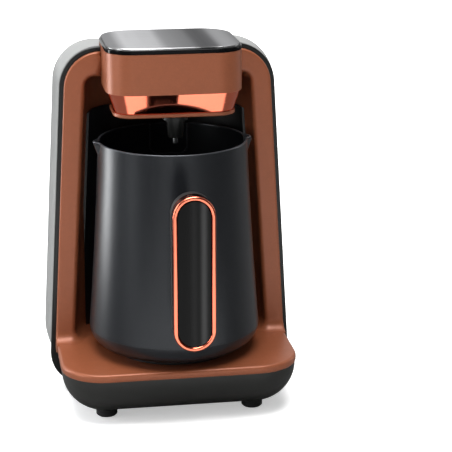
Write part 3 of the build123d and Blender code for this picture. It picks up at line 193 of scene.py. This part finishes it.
def material(name, colour, rough, metal=0.0, coat=0.0, coat_rough=0.05, spread=0.05,
             rough_spread=0.05, grain=900.0, bump=0.0, bump_size=900.0, stretch=(1.0, 1.0, 1.0),
             specular=0.5, transmission=0.0, flake=0.0):
    """Material with noise in its colour, roughness and bump.

    spread and rough_spread say how far the noise moves the tone and the roughness, grain and
    bump_size are scales of noise, bump is a height in millimetres, and flake is the strength
    of bright flakes in a paint.
    """
    made = new_material(name)
    tree, inputs = made.node_tree, surface(made)
    inputs["Metallic"].default_value = metal
    inputs["Coat Weight"].default_value = coat
    inputs["Coat Roughness"].default_value = coat_rough
    inputs["Specular IOR Level"].default_value = specular
    inputs["Transmission Weight"].default_value = transmission
    vector = stretched(tree, stretch)

    tones = tree.nodes.new("ShaderNodeValToRGB")
    dark, light = tones.color_ramp.elements
    dark.position, light.position = DARK_STOP, LIGHT_STOP
    dark.color, light.color = tint(colour, 1 - spread), tint(colour, 1 + spread)
    tree.links.new(noise(tree, grain, TONE_DETAIL, vector), tones.inputs["Fac"])
    base = tones.outputs["Color"]
    if flake:
        cells = tree.nodes.new("ShaderNodeTexVoronoi")
        cells.inputs["Scale"].default_value = FLAKE_SCALE
        tree.links.new(stretched(tree, (1.0, 1.0, 1.0)), cells.inputs["Vector"])
        channels = tree.nodes.new("ShaderNodeSeparateColor")
        tree.links.new(cells.outputs["Color"], channels.inputs["Color"])
        sparkle = map_range(tree, channels.outputs["Red"], (FLAKE_FROM, 1.0), (0.0, flake))
        base = blend(tree, "RGBA", sparkle, base, tint(colour, FLAKE_TONE))
    tree.links.new(base, inputs["Base Color"])

    rough_noise = noise(tree, grain * ROUGH_GRAIN, ROUGH_DETAIL, vector)
    rough_ends = (max(rough - rough_spread, LEAST_ROUGH), rough + rough_spread)
    tree.links.new(map_range(tree, rough_noise, target=rough_ends), inputs["Roughness"])
    if bump:
        add_bump(made, noise(tree, bump_size, BUMP_DETAIL, vector), bump * MM)
    return made


def painted_reflections_and_scratches(source, name, half, reflection_bands, wear):
    """Copy of a material with soft stripes of painted reflection across X and long scratches
    along X.

    half is half the width of the piece in metres, and each painted reflection stripe is (share of
    the width from the left, tone).
    """
    made = source.copy()
    made.name = name
    tree = made.node_tree
    across = map_range(tree, axes(tree, "Object")["X"], (-half, half))
    tones = tree.nodes.new("ShaderNodeValToRGB")
    ramp = tones.color_ramp
    ramp.interpolation = "B_SPLINE"
    ramp.elements[0].position, ramp.elements[1].position = reflection_bands[0][0], reflection_bands[-1][0]
    for position, tone in reflection_bands[1:-1]:
        ramp.elements.new(position)
    for element, (position, tone) in zip(ramp.elements, reflection_bands):
        element.position = position
        element.color = tint(REFLECTION_BAND_TINT, tone)
    tree.links.new(across, tones.inputs["Fac"])
    scratches = noise(tree, SCRATCH_SCALE, SCRATCH_DETAIL, stretched(tree, SCRATCH_STRETCH))
    worn = map_range(tree, scratches, target=(1.0 - wear, 1.0 + wear))
    mixed = blend(tree, "RGBA", 1.0, tones.outputs["Color"], worn, way="MULTIPLY")
    tree.links.new(mixed, surface(made)["Base Color"])
    return made


PAINT = material("copper_brown_paint", srgb(129, 72, 46), rough=0.4, metal=0.22, coat=0.06,
                 coat_rough=0.3, spread=0.03, grain=260, bump=0.012, flake=0.25, specular=0.35)
SILVER = material("silver_grey_plastic", srgb(132, 133, 132), rough=0.38, metal=0.2,
                  spread=0.02, bump=0.006, bump_size=1500)
TRIM = material("black_trim", srgb(16, 17, 16), rough=0.32, spread=0.12, bump=0.006,
                bump_size=1800, specular=0.3)
LINING = material("black_lining", srgb(16, 16, 17), rough=0.45, spread=0.1, bump=0.01,
                  bump_size=1400)
CHARCOAL = material("charcoal_plastic", srgb(28, 28, 26), rough=0.42, spread=0.1, bump=0.015,
                    bump_size=1300)
COPPER = material("polished_copper", srgb(236, 126, 98), rough=0.06, metal=1.0, spread=0.03,
                  rough_spread=0.02, grain=160)
STEEL = material("brushed_steel", srgb(190, 192, 194), rough=0.3, metal=1.0, spread=0.07,
                 rough_spread=0.07, grain=520, bump=0.008, stretch=(1.0, 0.03, 1.0))
GLOSS = material("gloss_black", srgb(8, 8, 9), rough=0.07, coat=0.04, coat_rough=0.03,
                 spread=0.15, rough_spread=0.02, grain=120, specular=0.08)
POT = material("black_pot_coating", srgb(18, 19, 22), rough=0.31, spread=0.1, bump=0.003,
               bump_size=1600, specular=0.42)
# Lighter grey metal for the pot's rim bead and fill mark: partly wear, partly a painted highlight
# along the rim
RIM_WEAR_AND_SHEEN = material("worn_rim_and_painted_sheen", srgb(60, 62, 66), rough=0.3, metal=0.6, spread=0.15, grain=300)
RUBBER = material("black_rubber", srgb(24, 24, 24), rough=0.75, spread=0.15, bump=0.03,
                  bump_size=1100)
SILICONE = material("silicone", srgb(196, 196, 190), rough=0.55, bump=0.01)
HANDLE = material("handle_plastic", srgb(30, 30, 30), rough=0.4, spread=0.12, bump=0.01,
                  bump_size=1300)
ALUMINIUM = material("cast_aluminium", srgb(120, 121, 123), rough=0.42, metal=0.9, spread=0.1,
                     bump=0.03, bump_size=500)
TANK = material("clear_tank", srgb(226, 232, 236), rough=0.12, transmission=0.85, spread=0.02,
                bump=0.004)
PUMP = material("pump_body", srgb(96, 98, 104), rough=0.5, spread=0.08, bump=0.02)
BOARD = material("circuit_board", srgb(34, 92, 52), rough=0.45, spread=0.15, grain=1500,
                 bump=0.02)
PARTS = material("electric_parts", srgb(52, 54, 60), rough=0.5, spread=0.1, bump=0.02)
LENS = material("light_pipe", srgb(214, 216, 220), rough=0.25, spread=0.03, transmission=0.3)
SCREW = material("zinc_screw", srgb(150, 150, 148), rough=0.3, metal=1.0, spread=0.12,
                 grain=1800)
# Painted reflections: the lid's lighter and darker stripes across X stand in for what the steel
# mirrors; the scratches are wear
LID_STEEL_PAINTED_REFLECTIONS = painted_reflections_and_scratches(STEEL, "brushed_lid_painted_reflections", half=0.045, wear=0.14, reflection_bands=(
    (0.0, 0.34), (0.07, 0.33), (0.1, 0.5), (0.15, 0.92), (0.23, 0.8), (0.38, 0.76), (0.45, 0.3),
    (0.62, 0.22), (0.68, 0.03), (0.79, 0.03), (0.84, 0.5), (0.93, 0.42), (1.0, 0.14)))
# Painted reflections: the faint lighter stripes on the black inlay stand in for what its gloss
# mirrors
INLAY_PAINTED_REFLECTIONS = painted_reflections_and_scratches(GLOSS, "gloss_black_inlay_painted_reflections", half=0.0095, wear=0.02, reflection_bands=(
    (0.0, 0.0), (0.3, 0.0), (0.42, 0.006), (0.5, 0.009), (0.6, 0.003), (0.68, 0.002),
    (0.76, 0.035), (0.84, 0.04), (0.92, 0.01), (1.0, 0.0)))
surface(POT)["Specular Tint"].default_value = (0.92, 0.96, 1.0, 1.0)
surface(LID_STEEL_PAINTED_REFLECTIONS)["Specular Tint"].default_value = (0.5, 0.5, 0.51, 1.0)

LOOKS = {
    PAINT: ["front_casing", "head_housing", "head_underplate"],
    SILVER: ["rear_shell"],
    TRIM: ["edge_trim", "nozzle", "control_panel"],
    LINING: ["niche_panel"],
    CHARCOAL: ["base_pan", "pump_cradle", "terminal_block"],
    HANDLE: ["handle_grip", "handle_brackets"],
    COPPER: ["copper_band", "handle_ring"],
    LID_STEEL_PAINTED_REFLECTIONS: ["lid_plate"],
    STEEL: ["outlet_tube", "hinge_pin", "start_spring", "slow_spring", "heat_shield",
            "plate_sensor"],
    INLAY_PAINTED_REFLECTIONS: ["handle_inlay"],
    GLOSS: ["lid_frame", "start_button", "slow_button", "sensor_window"],
    POT: ["pot_body", "pot_base"],
    RIM_WEAR_AND_SHEEN: ["fill_mark"],
    RUBBER: ["feet", "plate_seal", "cord_gland"],
    SILICONE: ["lid_seal", "suction_hose", "feed_hose", "heater_leads"],
    ALUMINIUM: ["hot_plate", "heating_element"],
    TANK: ["water_tank"],
    PUMP: ["water_pump"],
    BOARD: ["power_board", "control_board", "foam_sensor"],
    PARTS: ["thermostat", "thermal_fuse", "transformer", "heater_relay", "switches", "buzzer"],
    LENS: ["light_pipes", "indicator_leds"],
    SCREW: ["foot_screws", "shell_screws", "board_screws", "side_screws", "handle_screws"],
}
for look, names in LOOKS.items():
    for name in names:
        mesh_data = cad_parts[name].data
        mesh_data.materials.clear()
        mesh_data.materials.append(look)

# ---------------------------------------------------------------- mesh helpers
WELD, THINNEST = 2e-6, 1e-6                  # metres


def mesh(name, points, faces, look, body="machine", replaces=(), sharp=40.0,
         finish=None):
    """Piece from points in millimetres; doubled points are welded, normals point outwards."""
    data = bpy.data.meshes.new(name)
    build = bmesh.new()
    corners = [build.verts.new(Vector(p) * MM) for p in points]
    for face in faces:
        build.faces.new([corners[i] for i in face])
    bmesh.ops.remove_doubles(build, verts=build.verts, dist=WELD)
    bmesh.ops.dissolve_degenerate(build, edges=build.edges, dist=THINNEST)
    bmesh.ops.recalc_face_normals(build, faces=build.faces)
    if finish:
        finish(build)
    build.to_mesh(data)
    build.free()
    data.shade_smooth()
    data.set_sharp_from_angle(angle=radians(sharp))
    data.materials.append(look)
    piece = bpy.data.objects.new(name, data)
    scene.collection.objects.link(piece)
    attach(piece, body)
    if replaces:
        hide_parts(*replaces)
    return piece


def skin(rows, closed=True, capped=False):
    """Points and faces of quads between rows of equal length."""
    count = len(rows[0])
    points = [p for row in rows for p in row]
    faces = []
    for r in range(len(rows) - 1):
        for i in range(count if closed else count - 1):
            j = (i + 1) % count
            low, high = r * count, (r + 1) * count
            faces.append((low + i, low + j, high + j, high + i))
    if capped:
        faces.append(tuple(reversed(range(count))))
        faces.append(tuple(range(len(points) - count, len(points))))
    return points, faces


def spread_between(low, high, count):
    return [low + (high - low) * k / count for k in range(count + 1)]


def between(first, last, part):
    return tuple(p + (q - p) * part for p, q in zip(first, last))


# ---------------------------------------------------------------- front casing
POT_Y = 3.0                                  # axis of the pot and of the hot plate
TRAY_Z, TRAY_LOW_Z = 38.7, 33.4
ARCH_Y, PLATE_BACK_Y = 20.0, 23.0
ARCH_FOOT_HALF, ARCH_FOOT_Z, ARCH_TAPER = 84.0, 32.0, 0.059
PLATE_INSET, PLATE_TOP, PLATE_CORNER, PLATE_ROUND = 3.0, 240.7, 25.0, 1.3
NICHE_FOOT_HALF, NICHE_TAPER = 67.2, 0.0625
NICHE_DEPTH, NICHE_TOP, NICHE_CORNER = 47.0, 224.0, 6.5
MOUTH_ROUND = 3.0
COVE, COVE_FOOT_Z = 8.0, TRAY_Z - 0.06       # hollow between the arch and the tray
SHELL_WALL = 1.2
HEAD_GAP_HALF, HEAD_GAP_LOW_Z = 43.6, 224.5  # where the head passes through the plate

SIDE_STEPS, CORNER_STEPS, TOP_STEPS, WALL_STEPS = 26, 10, 24, 22
COVE_ANGLES = (5, 10, 20, 35, 50, 65, 80, 90)
PLATE_EDGE_ANGLES = (0, 22, 45, 67, 90)
ROUND_ANGLES = range(0, 91, 15)
FACE_PARTS = (0.12, 0.5, 0.88)               # rows between the plate's edge and the mouth


def plate_half(z):
    return ARCH_FOOT_HALF - ARCH_TAPER * (z - ARCH_FOOT_Z) - PLATE_INSET


def niche_half(z):
    return NICHE_FOOT_HALF - NICHE_TAPER * (z - TRAY_Z)


def gate(half_at, taper, top, corner):
    """Path up the left side, over the top and down the right side.

    Each point is (x, z, outward x, outward z).
    """
    lean = atan2(taper, 1.0)
    centre_z = top - corner
    side_top = centre_z + corner * sin(lean)
    centre_x = half_at(side_top) - corner * cos(lean)
    heights = [TRAY_LOW_Z, COVE_FOOT_Z]
    heights += [COVE_FOOT_Z + COVE * (1 - cos(radians(a))) for a in COVE_ANGLES]
    heights += spread_between(COVE_FOOT_Z + COVE, side_top, SIDE_STEPS)[1:]
    right = [(half_at(z), z, cos(lean), sin(lean)) for z in heights]
    for angle in spread_between(lean, pi / 2, CORNER_STEPS)[1:]:
        right.append((centre_x + corner * cos(angle), centre_z + corner * sin(angle),
                      cos(angle), sin(angle)))
    over = [(x, top, 0.0, 1.0) for x in spread_between(-centre_x, centre_x, TOP_STEPS)[1:-1]]
    left = [(-x, z, -nx, nz) for x, z, nx, nz in right]
    return left + over + right[::-1]


def cove_push(z):
    """How far the surface stands out at a height just above the tray."""
    if z >= COVE_FOOT_Z + COVE:
        return 0.0
    drop = COVE - max(z - COVE_FOOT_Z, 0.0)
    return COVE - sqrt(max(COVE * COVE - drop * drop, 0.0))


def casing_rows():
    """Rows from the plate's back edge, over its face and round the mouth, into the niche."""
    mouth = gate(niche_half, NICHE_TAPER, NICHE_TOP, NICHE_CORNER)
    outer = gate(plate_half, ARCH_TAPER, PLATE_TOP, PLATE_CORNER)
    rows = [[(x, PLATE_BACK_Y, z) for x, z, nx, nz in outer]]

    for a in PLATE_EDGE_ANGLES:
        inset = PLATE_ROUND * (1 - cos(radians(a)))
        y = ARCH_Y + PLATE_ROUND * (1 - sin(radians(a)))
        rows.append([(x - nx * inset, y - cove_push(z), z - nz * inset)
                     for x, z, nx, nz in outer])

    for part in FACE_PARTS:
        row = []
        for (x, z, nx, nz), (u, w, mx, mz) in zip(outer, mouth):
            edge = (x - nx * PLATE_ROUND, z - nz * PLATE_ROUND)
            lip = (u + mx * MOUTH_ROUND, w + mz * MOUTH_ROUND)
            face_x, face_z = between(edge, lip, part)
            row.append((face_x, ARCH_Y - cove_push(w), face_z))
        rows.append(row)

    for a in ROUND_ANGLES:
        grow = MOUTH_ROUND * (1 - sin(radians(a)))
        y = ARCH_Y + MOUTH_ROUND * (1 - cos(radians(a)))
        row = []
        for u, w, mx, mz in mouth:
            push = cove_push(w)
            side = 1.0 if mx > 0 else -1.0
            row.append((u + mx * grow - side * push * sin(radians(a)),
                        y - push * cos(radians(a)), w + mz * grow))
        rows.append(row)

    # The wall of the niche is a quarter of an ellipse on each side
    for theta in spread_between(MOUTH_ROUND / NICHE_DEPTH, pi / 2, WALL_STEPS)[1:]:
        row = []
        for u, w, mx, mz in mouth:
            half = abs(u)
            nx, ny = cos(theta) / max(half, 1.0), sin(theta) / NICHE_DEPTH
            size = hypot(nx, ny)
            push = cove_push(w)
            side = 1.0 if u > 0 else -1.0
            row.append((side * (half * cos(theta) - push * nx / size),
                        ARCH_Y + NICHE_DEPTH * sin(theta) - push * ny / size, w))
        rows.append(row)
    return rows


def open_behind_head(build):
    """Opens the plate where the head passes through it."""
    hidden = []
    for face in build.faces:
        middle = face.calc_center_median()
        if abs(middle.x) < HEAD_GAP_HALF * MM and middle.z > HEAD_GAP_LOW_Z * MM:
            hidden.append(face)
    bmesh.ops.delete(build, geom=hidden, context="FACES")


points, faces = skin(casing_rows(), closed=False)
casing = mesh("front_casing_shell", points, faces, PAINT, replaces=["front_casing"],
              sharp=60, finish=open_behind_head)
wall = casing.modifiers.new("wall", "SOLIDIFY")
wall.thickness = SHELL_WALL * MM
wall.offset = -1.0

# Tray and floor of the niche: one closed slab in the same moulding, with a hole for the hot plate
TRAY_HALF, TRAY_FRONT_Y, TRAY_CORNER = 80.1, -50.6, 29.6
TRAY_REAR_Y, TRAY_REAR_CORNER = 23.0, 0.5
TRAY_BEHIND_WALL = 3.0                       # how far the slab runs on behind the niche's wall
TRAY_EDGE, TRAY_LOW_EDGE = 2.0, 0.8
HOLE_RADIUS = 39.7

PLAN_CORNER_STEPS, PLAN_SIDE_STEPS, PLAN_FRONT_STEPS = 14, 10, 16
NICHE_FLOOR_STEP = 4                         # degrees
LOW_EDGE_ANGLES = (0, 45, 90)
TOP_PARTS = (0.35, 0.7, 1.0)                 # rows between the slab's edge and its hole


def plan(half, front, rear, corner, rear_corner):
    """Closed plan outline of a box with rounded corners, from the rear left."""
    out = []

    def arc(cx, cy, radius, first, last):
        for a in spread_between(first, last, PLAN_CORNER_STEPS):
            out.append((cx + radius * cos(radians(a)), cy + radius * sin(radians(a))))

    arc(-half + rear_corner, rear - rear_corner, rear_corner, 90, 180)
    for y in spread_between(rear - rear_corner, front + corner, PLAN_SIDE_STEPS)[1:-1]:
        out.append((-half, y))
    arc(-half + corner, front + corner, corner, 180, 270)
    for x in spread_between(-half + corner, half - corner, PLAN_FRONT_STEPS)[1:-1]:
        out.append((x, front))
    arc(half - corner, front + corner, corner, 270, 360)
    for y in spread_between(front + corner, rear - rear_corner, PLAN_SIDE_STEPS)[1:-1]:
        out.append((half, y))
    arc(half - rear_corner, rear - rear_corner, rear_corner, 0, 90)
    return out


def tray_outline(inset):
    """Plan of the slab: the tray in front, then the niche floor round the back."""
    front = plan(TRAY_HALF - inset, TRAY_FRONT_Y + inset, TRAY_REAR_Y, TRAY_CORNER - inset,
                 TRAY_REAR_CORNER)
    half = niche_half(TRAY_Z) + TRAY_BEHIND_WALL - inset
    depth = NICHE_DEPTH + TRAY_BEHIND_WALL - inset
    return front + [(half * cos(radians(a)), ARCH_Y + depth * sin(radians(a)))
                    for a in range(NICHE_FLOOR_STEP, 180, NICHE_FLOOR_STEP)]


def tray_rows():
    """Rows up the slab's edge, over its top to the hole, down the hole and back."""
    rows = []
    for a in LOW_EDGE_ANGLES:
        inset = TRAY_LOW_EDGE * (1 - sin(radians(a)))
        z = TRAY_LOW_Z + TRAY_LOW_EDGE * (1 - cos(radians(a)))
        rows.append([(x, y, z) for x, y in tray_outline(inset)])
    for a in ROUND_ANGLES:
        inset = TRAY_EDGE * (1 - cos(radians(a)))
        z = TRAY_Z - TRAY_EDGE * (1 - sin(radians(a)))
        rows.append([(x, y, z) for x, y in tray_outline(inset)])
    edge = tray_outline(TRAY_EDGE)
    hole = []
    for x, y in edge:
        angle = atan2(y - POT_Y, x)
        hole.append((HOLE_RADIUS * cos(angle), POT_Y + HOLE_RADIUS * sin(angle)))
    for part in TOP_PARTS:
        rows.append([(*between(p, q, part), TRAY_Z) for p, q in zip(edge, hole)])
    rows.append([(x, y, TRAY_LOW_Z) for x, y in hole])
    rows.append(rows[0])
    return rows


points, faces = skin(tray_rows())
mesh("front_casing_tray", points, faces, PAINT, sharp=50)

# ---------------------------------------------------------------- rolled edge of the pot
POT_RIM_Z, POT_RIM_RADIUS, POT_WALL = 183.6, 50.0, 1.6
BEAD_RADIUS = 0.8
SPOUT_TIP_CENTRE, SPOUT_TIP_RADIUS = 48.3, 5.0
SPOUT_TIP_ANGLE = radians(3.33)
SPOUT_FLANK = (19.0, 14.6, 1037.4)           # line of the lip's flank: 19 x + 14.6 y = 1037.4
SPOUT_SPAN = pi / 8
BEAD_STEPS, BEAD_SIDES = 720, 12


def rim_radius(angle):
    """Distance of the pot's outline from its axis; the lips point along X."""
    turn = abs(angle) if abs(angle) < pi / 2 else pi - abs(angle)
    if turn < SPOUT_TIP_ANGLE:
        return (SPOUT_TIP_CENTRE * cos(turn)
                + sqrt(SPOUT_TIP_RADIUS ** 2 - (SPOUT_TIP_CENTRE * sin(turn)) ** 2))
    flank = SPOUT_FLANK[2] / (SPOUT_FLANK[0] * cos(turn) + SPOUT_FLANK[1] * sin(turn))
    return max(POT_RIM_RADIUS, flank) if turn < SPOUT_SPAN else POT_RIM_RADIUS


def bead_rows():
    """Rings of a thin round bar that follows the rim and its two pouring lips."""
    rows = []
    for angle in spread_between(-pi, pi, BEAD_STEPS)[:-1]:
        middle = rim_radius(angle) - POT_WALL / 2
        row = []
        for j in range(BEAD_SIDES):
            around = 2 * pi * j / BEAD_SIDES
            reach = middle + BEAD_RADIUS * cos(around)
            row.append((reach * cos(angle), POT_Y + reach * sin(angle),
                        POT_RIM_Z + BEAD_RADIUS * sin(around)))
        rows.append(row)
    return rows + rows[:1]


points, faces = skin(bead_rows())
# The bead's lighter metal paints part of the rim's highlight
mesh("pot_rim_bead", points, faces, RIM_WEAR_AND_SHEEN, body="pot")

# ---------------------------------------------------------------- button springs
WIRE, COIL_TURNS, COIL_STEPS, WIRE_STEPS = 0.3, 4, 28, 8


def coil(name, node):
    """Spring in the place of its CAD node."""
    low, high = (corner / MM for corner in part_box(node))
    middle_y, middle_z = (low.y + high.y) / 2, (low.z + high.z) / 2
    radius = (high.y - low.y) / 2 - WIRE
    rows = []
    places = spread_between(low.x + WIRE, high.x - WIRE, COIL_TURNS * COIL_STEPS)
    for k, x in enumerate(places):
        turn = 2 * pi * k / COIL_STEPS
        row = []
        for j in range(WIRE_STEPS):
            around = 2 * pi * j / WIRE_STEPS
            reach = radius + WIRE * cos(around)
            row.append((x + WIRE * sin(around), middle_y + reach * cos(turn),
                        middle_z + reach * sin(turn)))
        rows.append(row)
    points, faces = skin(rows, capped=True)
    piece = mesh(name, points, faces, STEEL, replaces=[node], sharp=60)
    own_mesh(piece)


coil("start_spring_coil", "start_spring")
coil("slow_spring_coil", "slow_spring")

# ---------------------------------------------------------------- floor
FLOOR_HALF, FLOOR_Z = 4.0, -0.0005
FLOOR_COLOUR, FLOOR_ROUGH, FLOOR_SPECULAR = 0.93, 0.6, 0.1
FLOOR_GRAIN, FLOOR_BUMP = 40.0, 0.00002
FLOOR_LIFT = 0.42                            # light of its own near the object, for the camera
HORIZON = (0.35, 1.1)                        # distance over which that light grows to white
FLOOR_DIM = 0.14                             # what reflections keep of the floor near the object
DIM_BEHIND, DIM_BESIDE = (-0.17, -0.13), (0.25, 0.4)
# Glowing patch on the floor that only reflections see: it paints a highlight on the pot
GLOW_PATCH_TURN = (0.48, 0.877)
GLOW_PATCH_HALF, GLOW_PATCH_SOFT = 0.1, 0.03
GLOW_PATCH_END = (-0.65, -0.35)
GLOW_PATCH_LIGHT = 12.0


def stage_material():
    """White floor that looks different to the camera and to reflections."""
    made = new_material("stage_white")
    tree, inputs = made.node_tree, surface(made)
    inputs["Roughness"].default_value = FLOOR_ROUGH
    inputs["Specular IOR Level"].default_value = FLOOR_SPECULAR
    inputs["Emission Color"].default_value = (*WHITE, 1.0)
    add_bump(made, noise(tree, FLOOR_GRAIN, BUMP_DETAIL), FLOOR_BUMP)
    path = tree.nodes.new("ShaderNodeLightPath").outputs
    place = axes(tree, "Object")

    # Reflections see a darker floor close to the object
    front = map_range(tree, place["Y"], DIM_BEHIND, (1.0, FLOOR_DIM), smooth=True)
    side = map_range(tree, maths(tree, "ABSOLUTE", place["X"]), DIM_BESIDE, (1.0, FLOOR_DIM),
                     smooth=True)
    loss = maths(tree, "SUBTRACT", maths(tree, "MINIMUM", front, side), 1.0)
    shown = maths(tree, "ADD", maths(tree, "MULTIPLY", loss, path["Is Glossy Ray"]), 1.0)
    level = maths(tree, "MULTIPLY", shown, FLOOR_COLOUR)
    tone = tree.nodes.new("ShaderNodeCombineColor")
    for socket in tone.inputs:
        tree.links.new(level, socket)
    tree.links.new(tone.outputs["Color"], inputs["Base Color"])

    # The camera sees a floor that turns into the white background
    squares = [maths(tree, "MULTIPLY", place[axis], place[axis]) for axis in ("X", "Y")]
    distance = maths(tree, "SQRT", maths(tree, "ADD", *squares))
    lift = maths(tree, "MULTIPLY", path["Is Camera Ray"],
                 map_range(tree, distance, HORIZON, (FLOOR_LIFT, 1.0), smooth=True))

    # A glowing patch on the floor, left of the object and behind it, that only reflections show;
    # it paints the highlight on the pot's left side
    off_line = maths(tree, "ADD", maths(tree, "MULTIPLY", place["X"], GLOW_PATCH_TURN[0]),
                     maths(tree, "MULTIPLY", place["Y"], GLOW_PATCH_TURN[1]))
    width = map_range(tree, maths(tree, "ABSOLUTE", off_line), (GLOW_PATCH_HALF, GLOW_PATCH_HALF + GLOW_PATCH_SOFT),
                      (1.0, 0.0), smooth=True)
    end = map_range(tree, place["X"], GLOW_PATCH_END, (1.0, 0.0), smooth=True)
    glow_patch = maths(tree, "MULTIPLY", maths(tree, "MULTIPLY", width, end), GLOW_PATCH_LIGHT)
    glow_patch = maths(tree, "MULTIPLY", glow_patch, path["Is Glossy Ray"])
    tree.links.new(maths(tree, "ADD", lift, glow_patch), inputs["Emission Strength"])
    return made


floor_data = bpy.data.meshes.new("floor")
floor_corners = ((-1, -1), (1, -1), (1, 1), (-1, 1))
floor_data.from_pydata([(x * FLOOR_HALF, y * FLOOR_HALF, FLOOR_Z) for x, y in floor_corners],
                       [], [(0, 1, 2, 3)])
floor_data.materials.append(stage_material())
floor = bpy.data.objects.new("floor", floor_data)
scene.collection.objects.link(floor)

# ---------------------------------------------------------------- studio
STUDIO_LIGHT = 0.38
STUDIO_DEPTH, STUDIO_DEPTH_LIGHT = (-0.75, 0.75), (0.06, 0.95)
STUDIO_RIGHT, STUDIO_RIGHT_LIGHT = (0.1, 0.75), (1.0, 0.4)


def studio():
    """World that is white to the camera; reflections show it white behind, dim in front."""
    world = bpy.data.worlds.new("studio")
    world.use_nodes = True
    tree = world.node_tree
    background = tree.nodes["Background"].inputs
    background["Color"].default_value = (*WHITE, 1.0)
    path = tree.nodes.new("ShaderNodeLightPath").outputs
    shown = maths(tree, "MAXIMUM", path["Is Camera Ray"], path["Is Transmission Ray"])
    direction = axes(tree, "Generated")
    depth = map_range(tree, direction["Y"], STUDIO_DEPTH, STUDIO_DEPTH_LIGHT, smooth=True)
    right = map_range(tree, direction["X"], STUDIO_RIGHT, STUDIO_RIGHT_LIGHT, smooth=True)
    reflected = blend(tree, "FLOAT", path["Is Glossy Ray"], STUDIO_LIGHT, depth)
    shaded = maths(tree, "MULTIPLY", reflected, right)
    tree.links.new(blend(tree, "FLOAT", shown, shaded, 1.0), background["Strength"])
    return world


scene.world = studio()

# ---------------------------------------------------------------- lamps
MIDDLE = (0.0, 0.0, 0.12)
COOL = (0.92, 0.96, 1.0)


def lamp(name, place, size, watts, target=MIDDLE, colour=WHITE):
    """Area lamp; its size is (width, height)."""
    data = bpy.data.lights.new(name, "AREA")
    data.shape = "RECTANGLE"
    data.size, data.size_y = size
    data.energy = watts
    data.color = colour
    made = bpy.data.objects.new(name, data)
    aim(made, place, target)
    return made


key = lamp("key_left", (-1.15, 0.55, 0.5), size=(0.35, 0.95), watts=8.0, colour=COOL)
lamp("soft_left", (-1.3, -0.5, 0.5), size=(0.4, 0.9), watts=7.0)
lamp("front_left", (-0.8, -1.4, 1.2), size=(0.6, 0.6), watts=1.5)
lamp("side_right", (1.3, 0.45, 0.5), size=(0.25, 0.9), watts=2.0)
lamp("top", (-0.1, -0.28, 1.4), size=(1.0, 0.8), watts=33.0, target=(0.0, -0.05, 0.0))
lamp("back", (0.1, 0.9, 1.5), size=(1.2, 0.6), watts=5.0, target=(0.0, 0.0, 0.15))

# The lid would mirror the key lamp to the right front, so that lamp leaves the lid out
spared = bpy.data.collections.new("not_lit_by_key")
spared.objects.link(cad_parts["lid_plate"])
key.light_linking.receiver_collection = spared
spared.collection_objects[0].light_linking.link_state = "EXCLUDE"
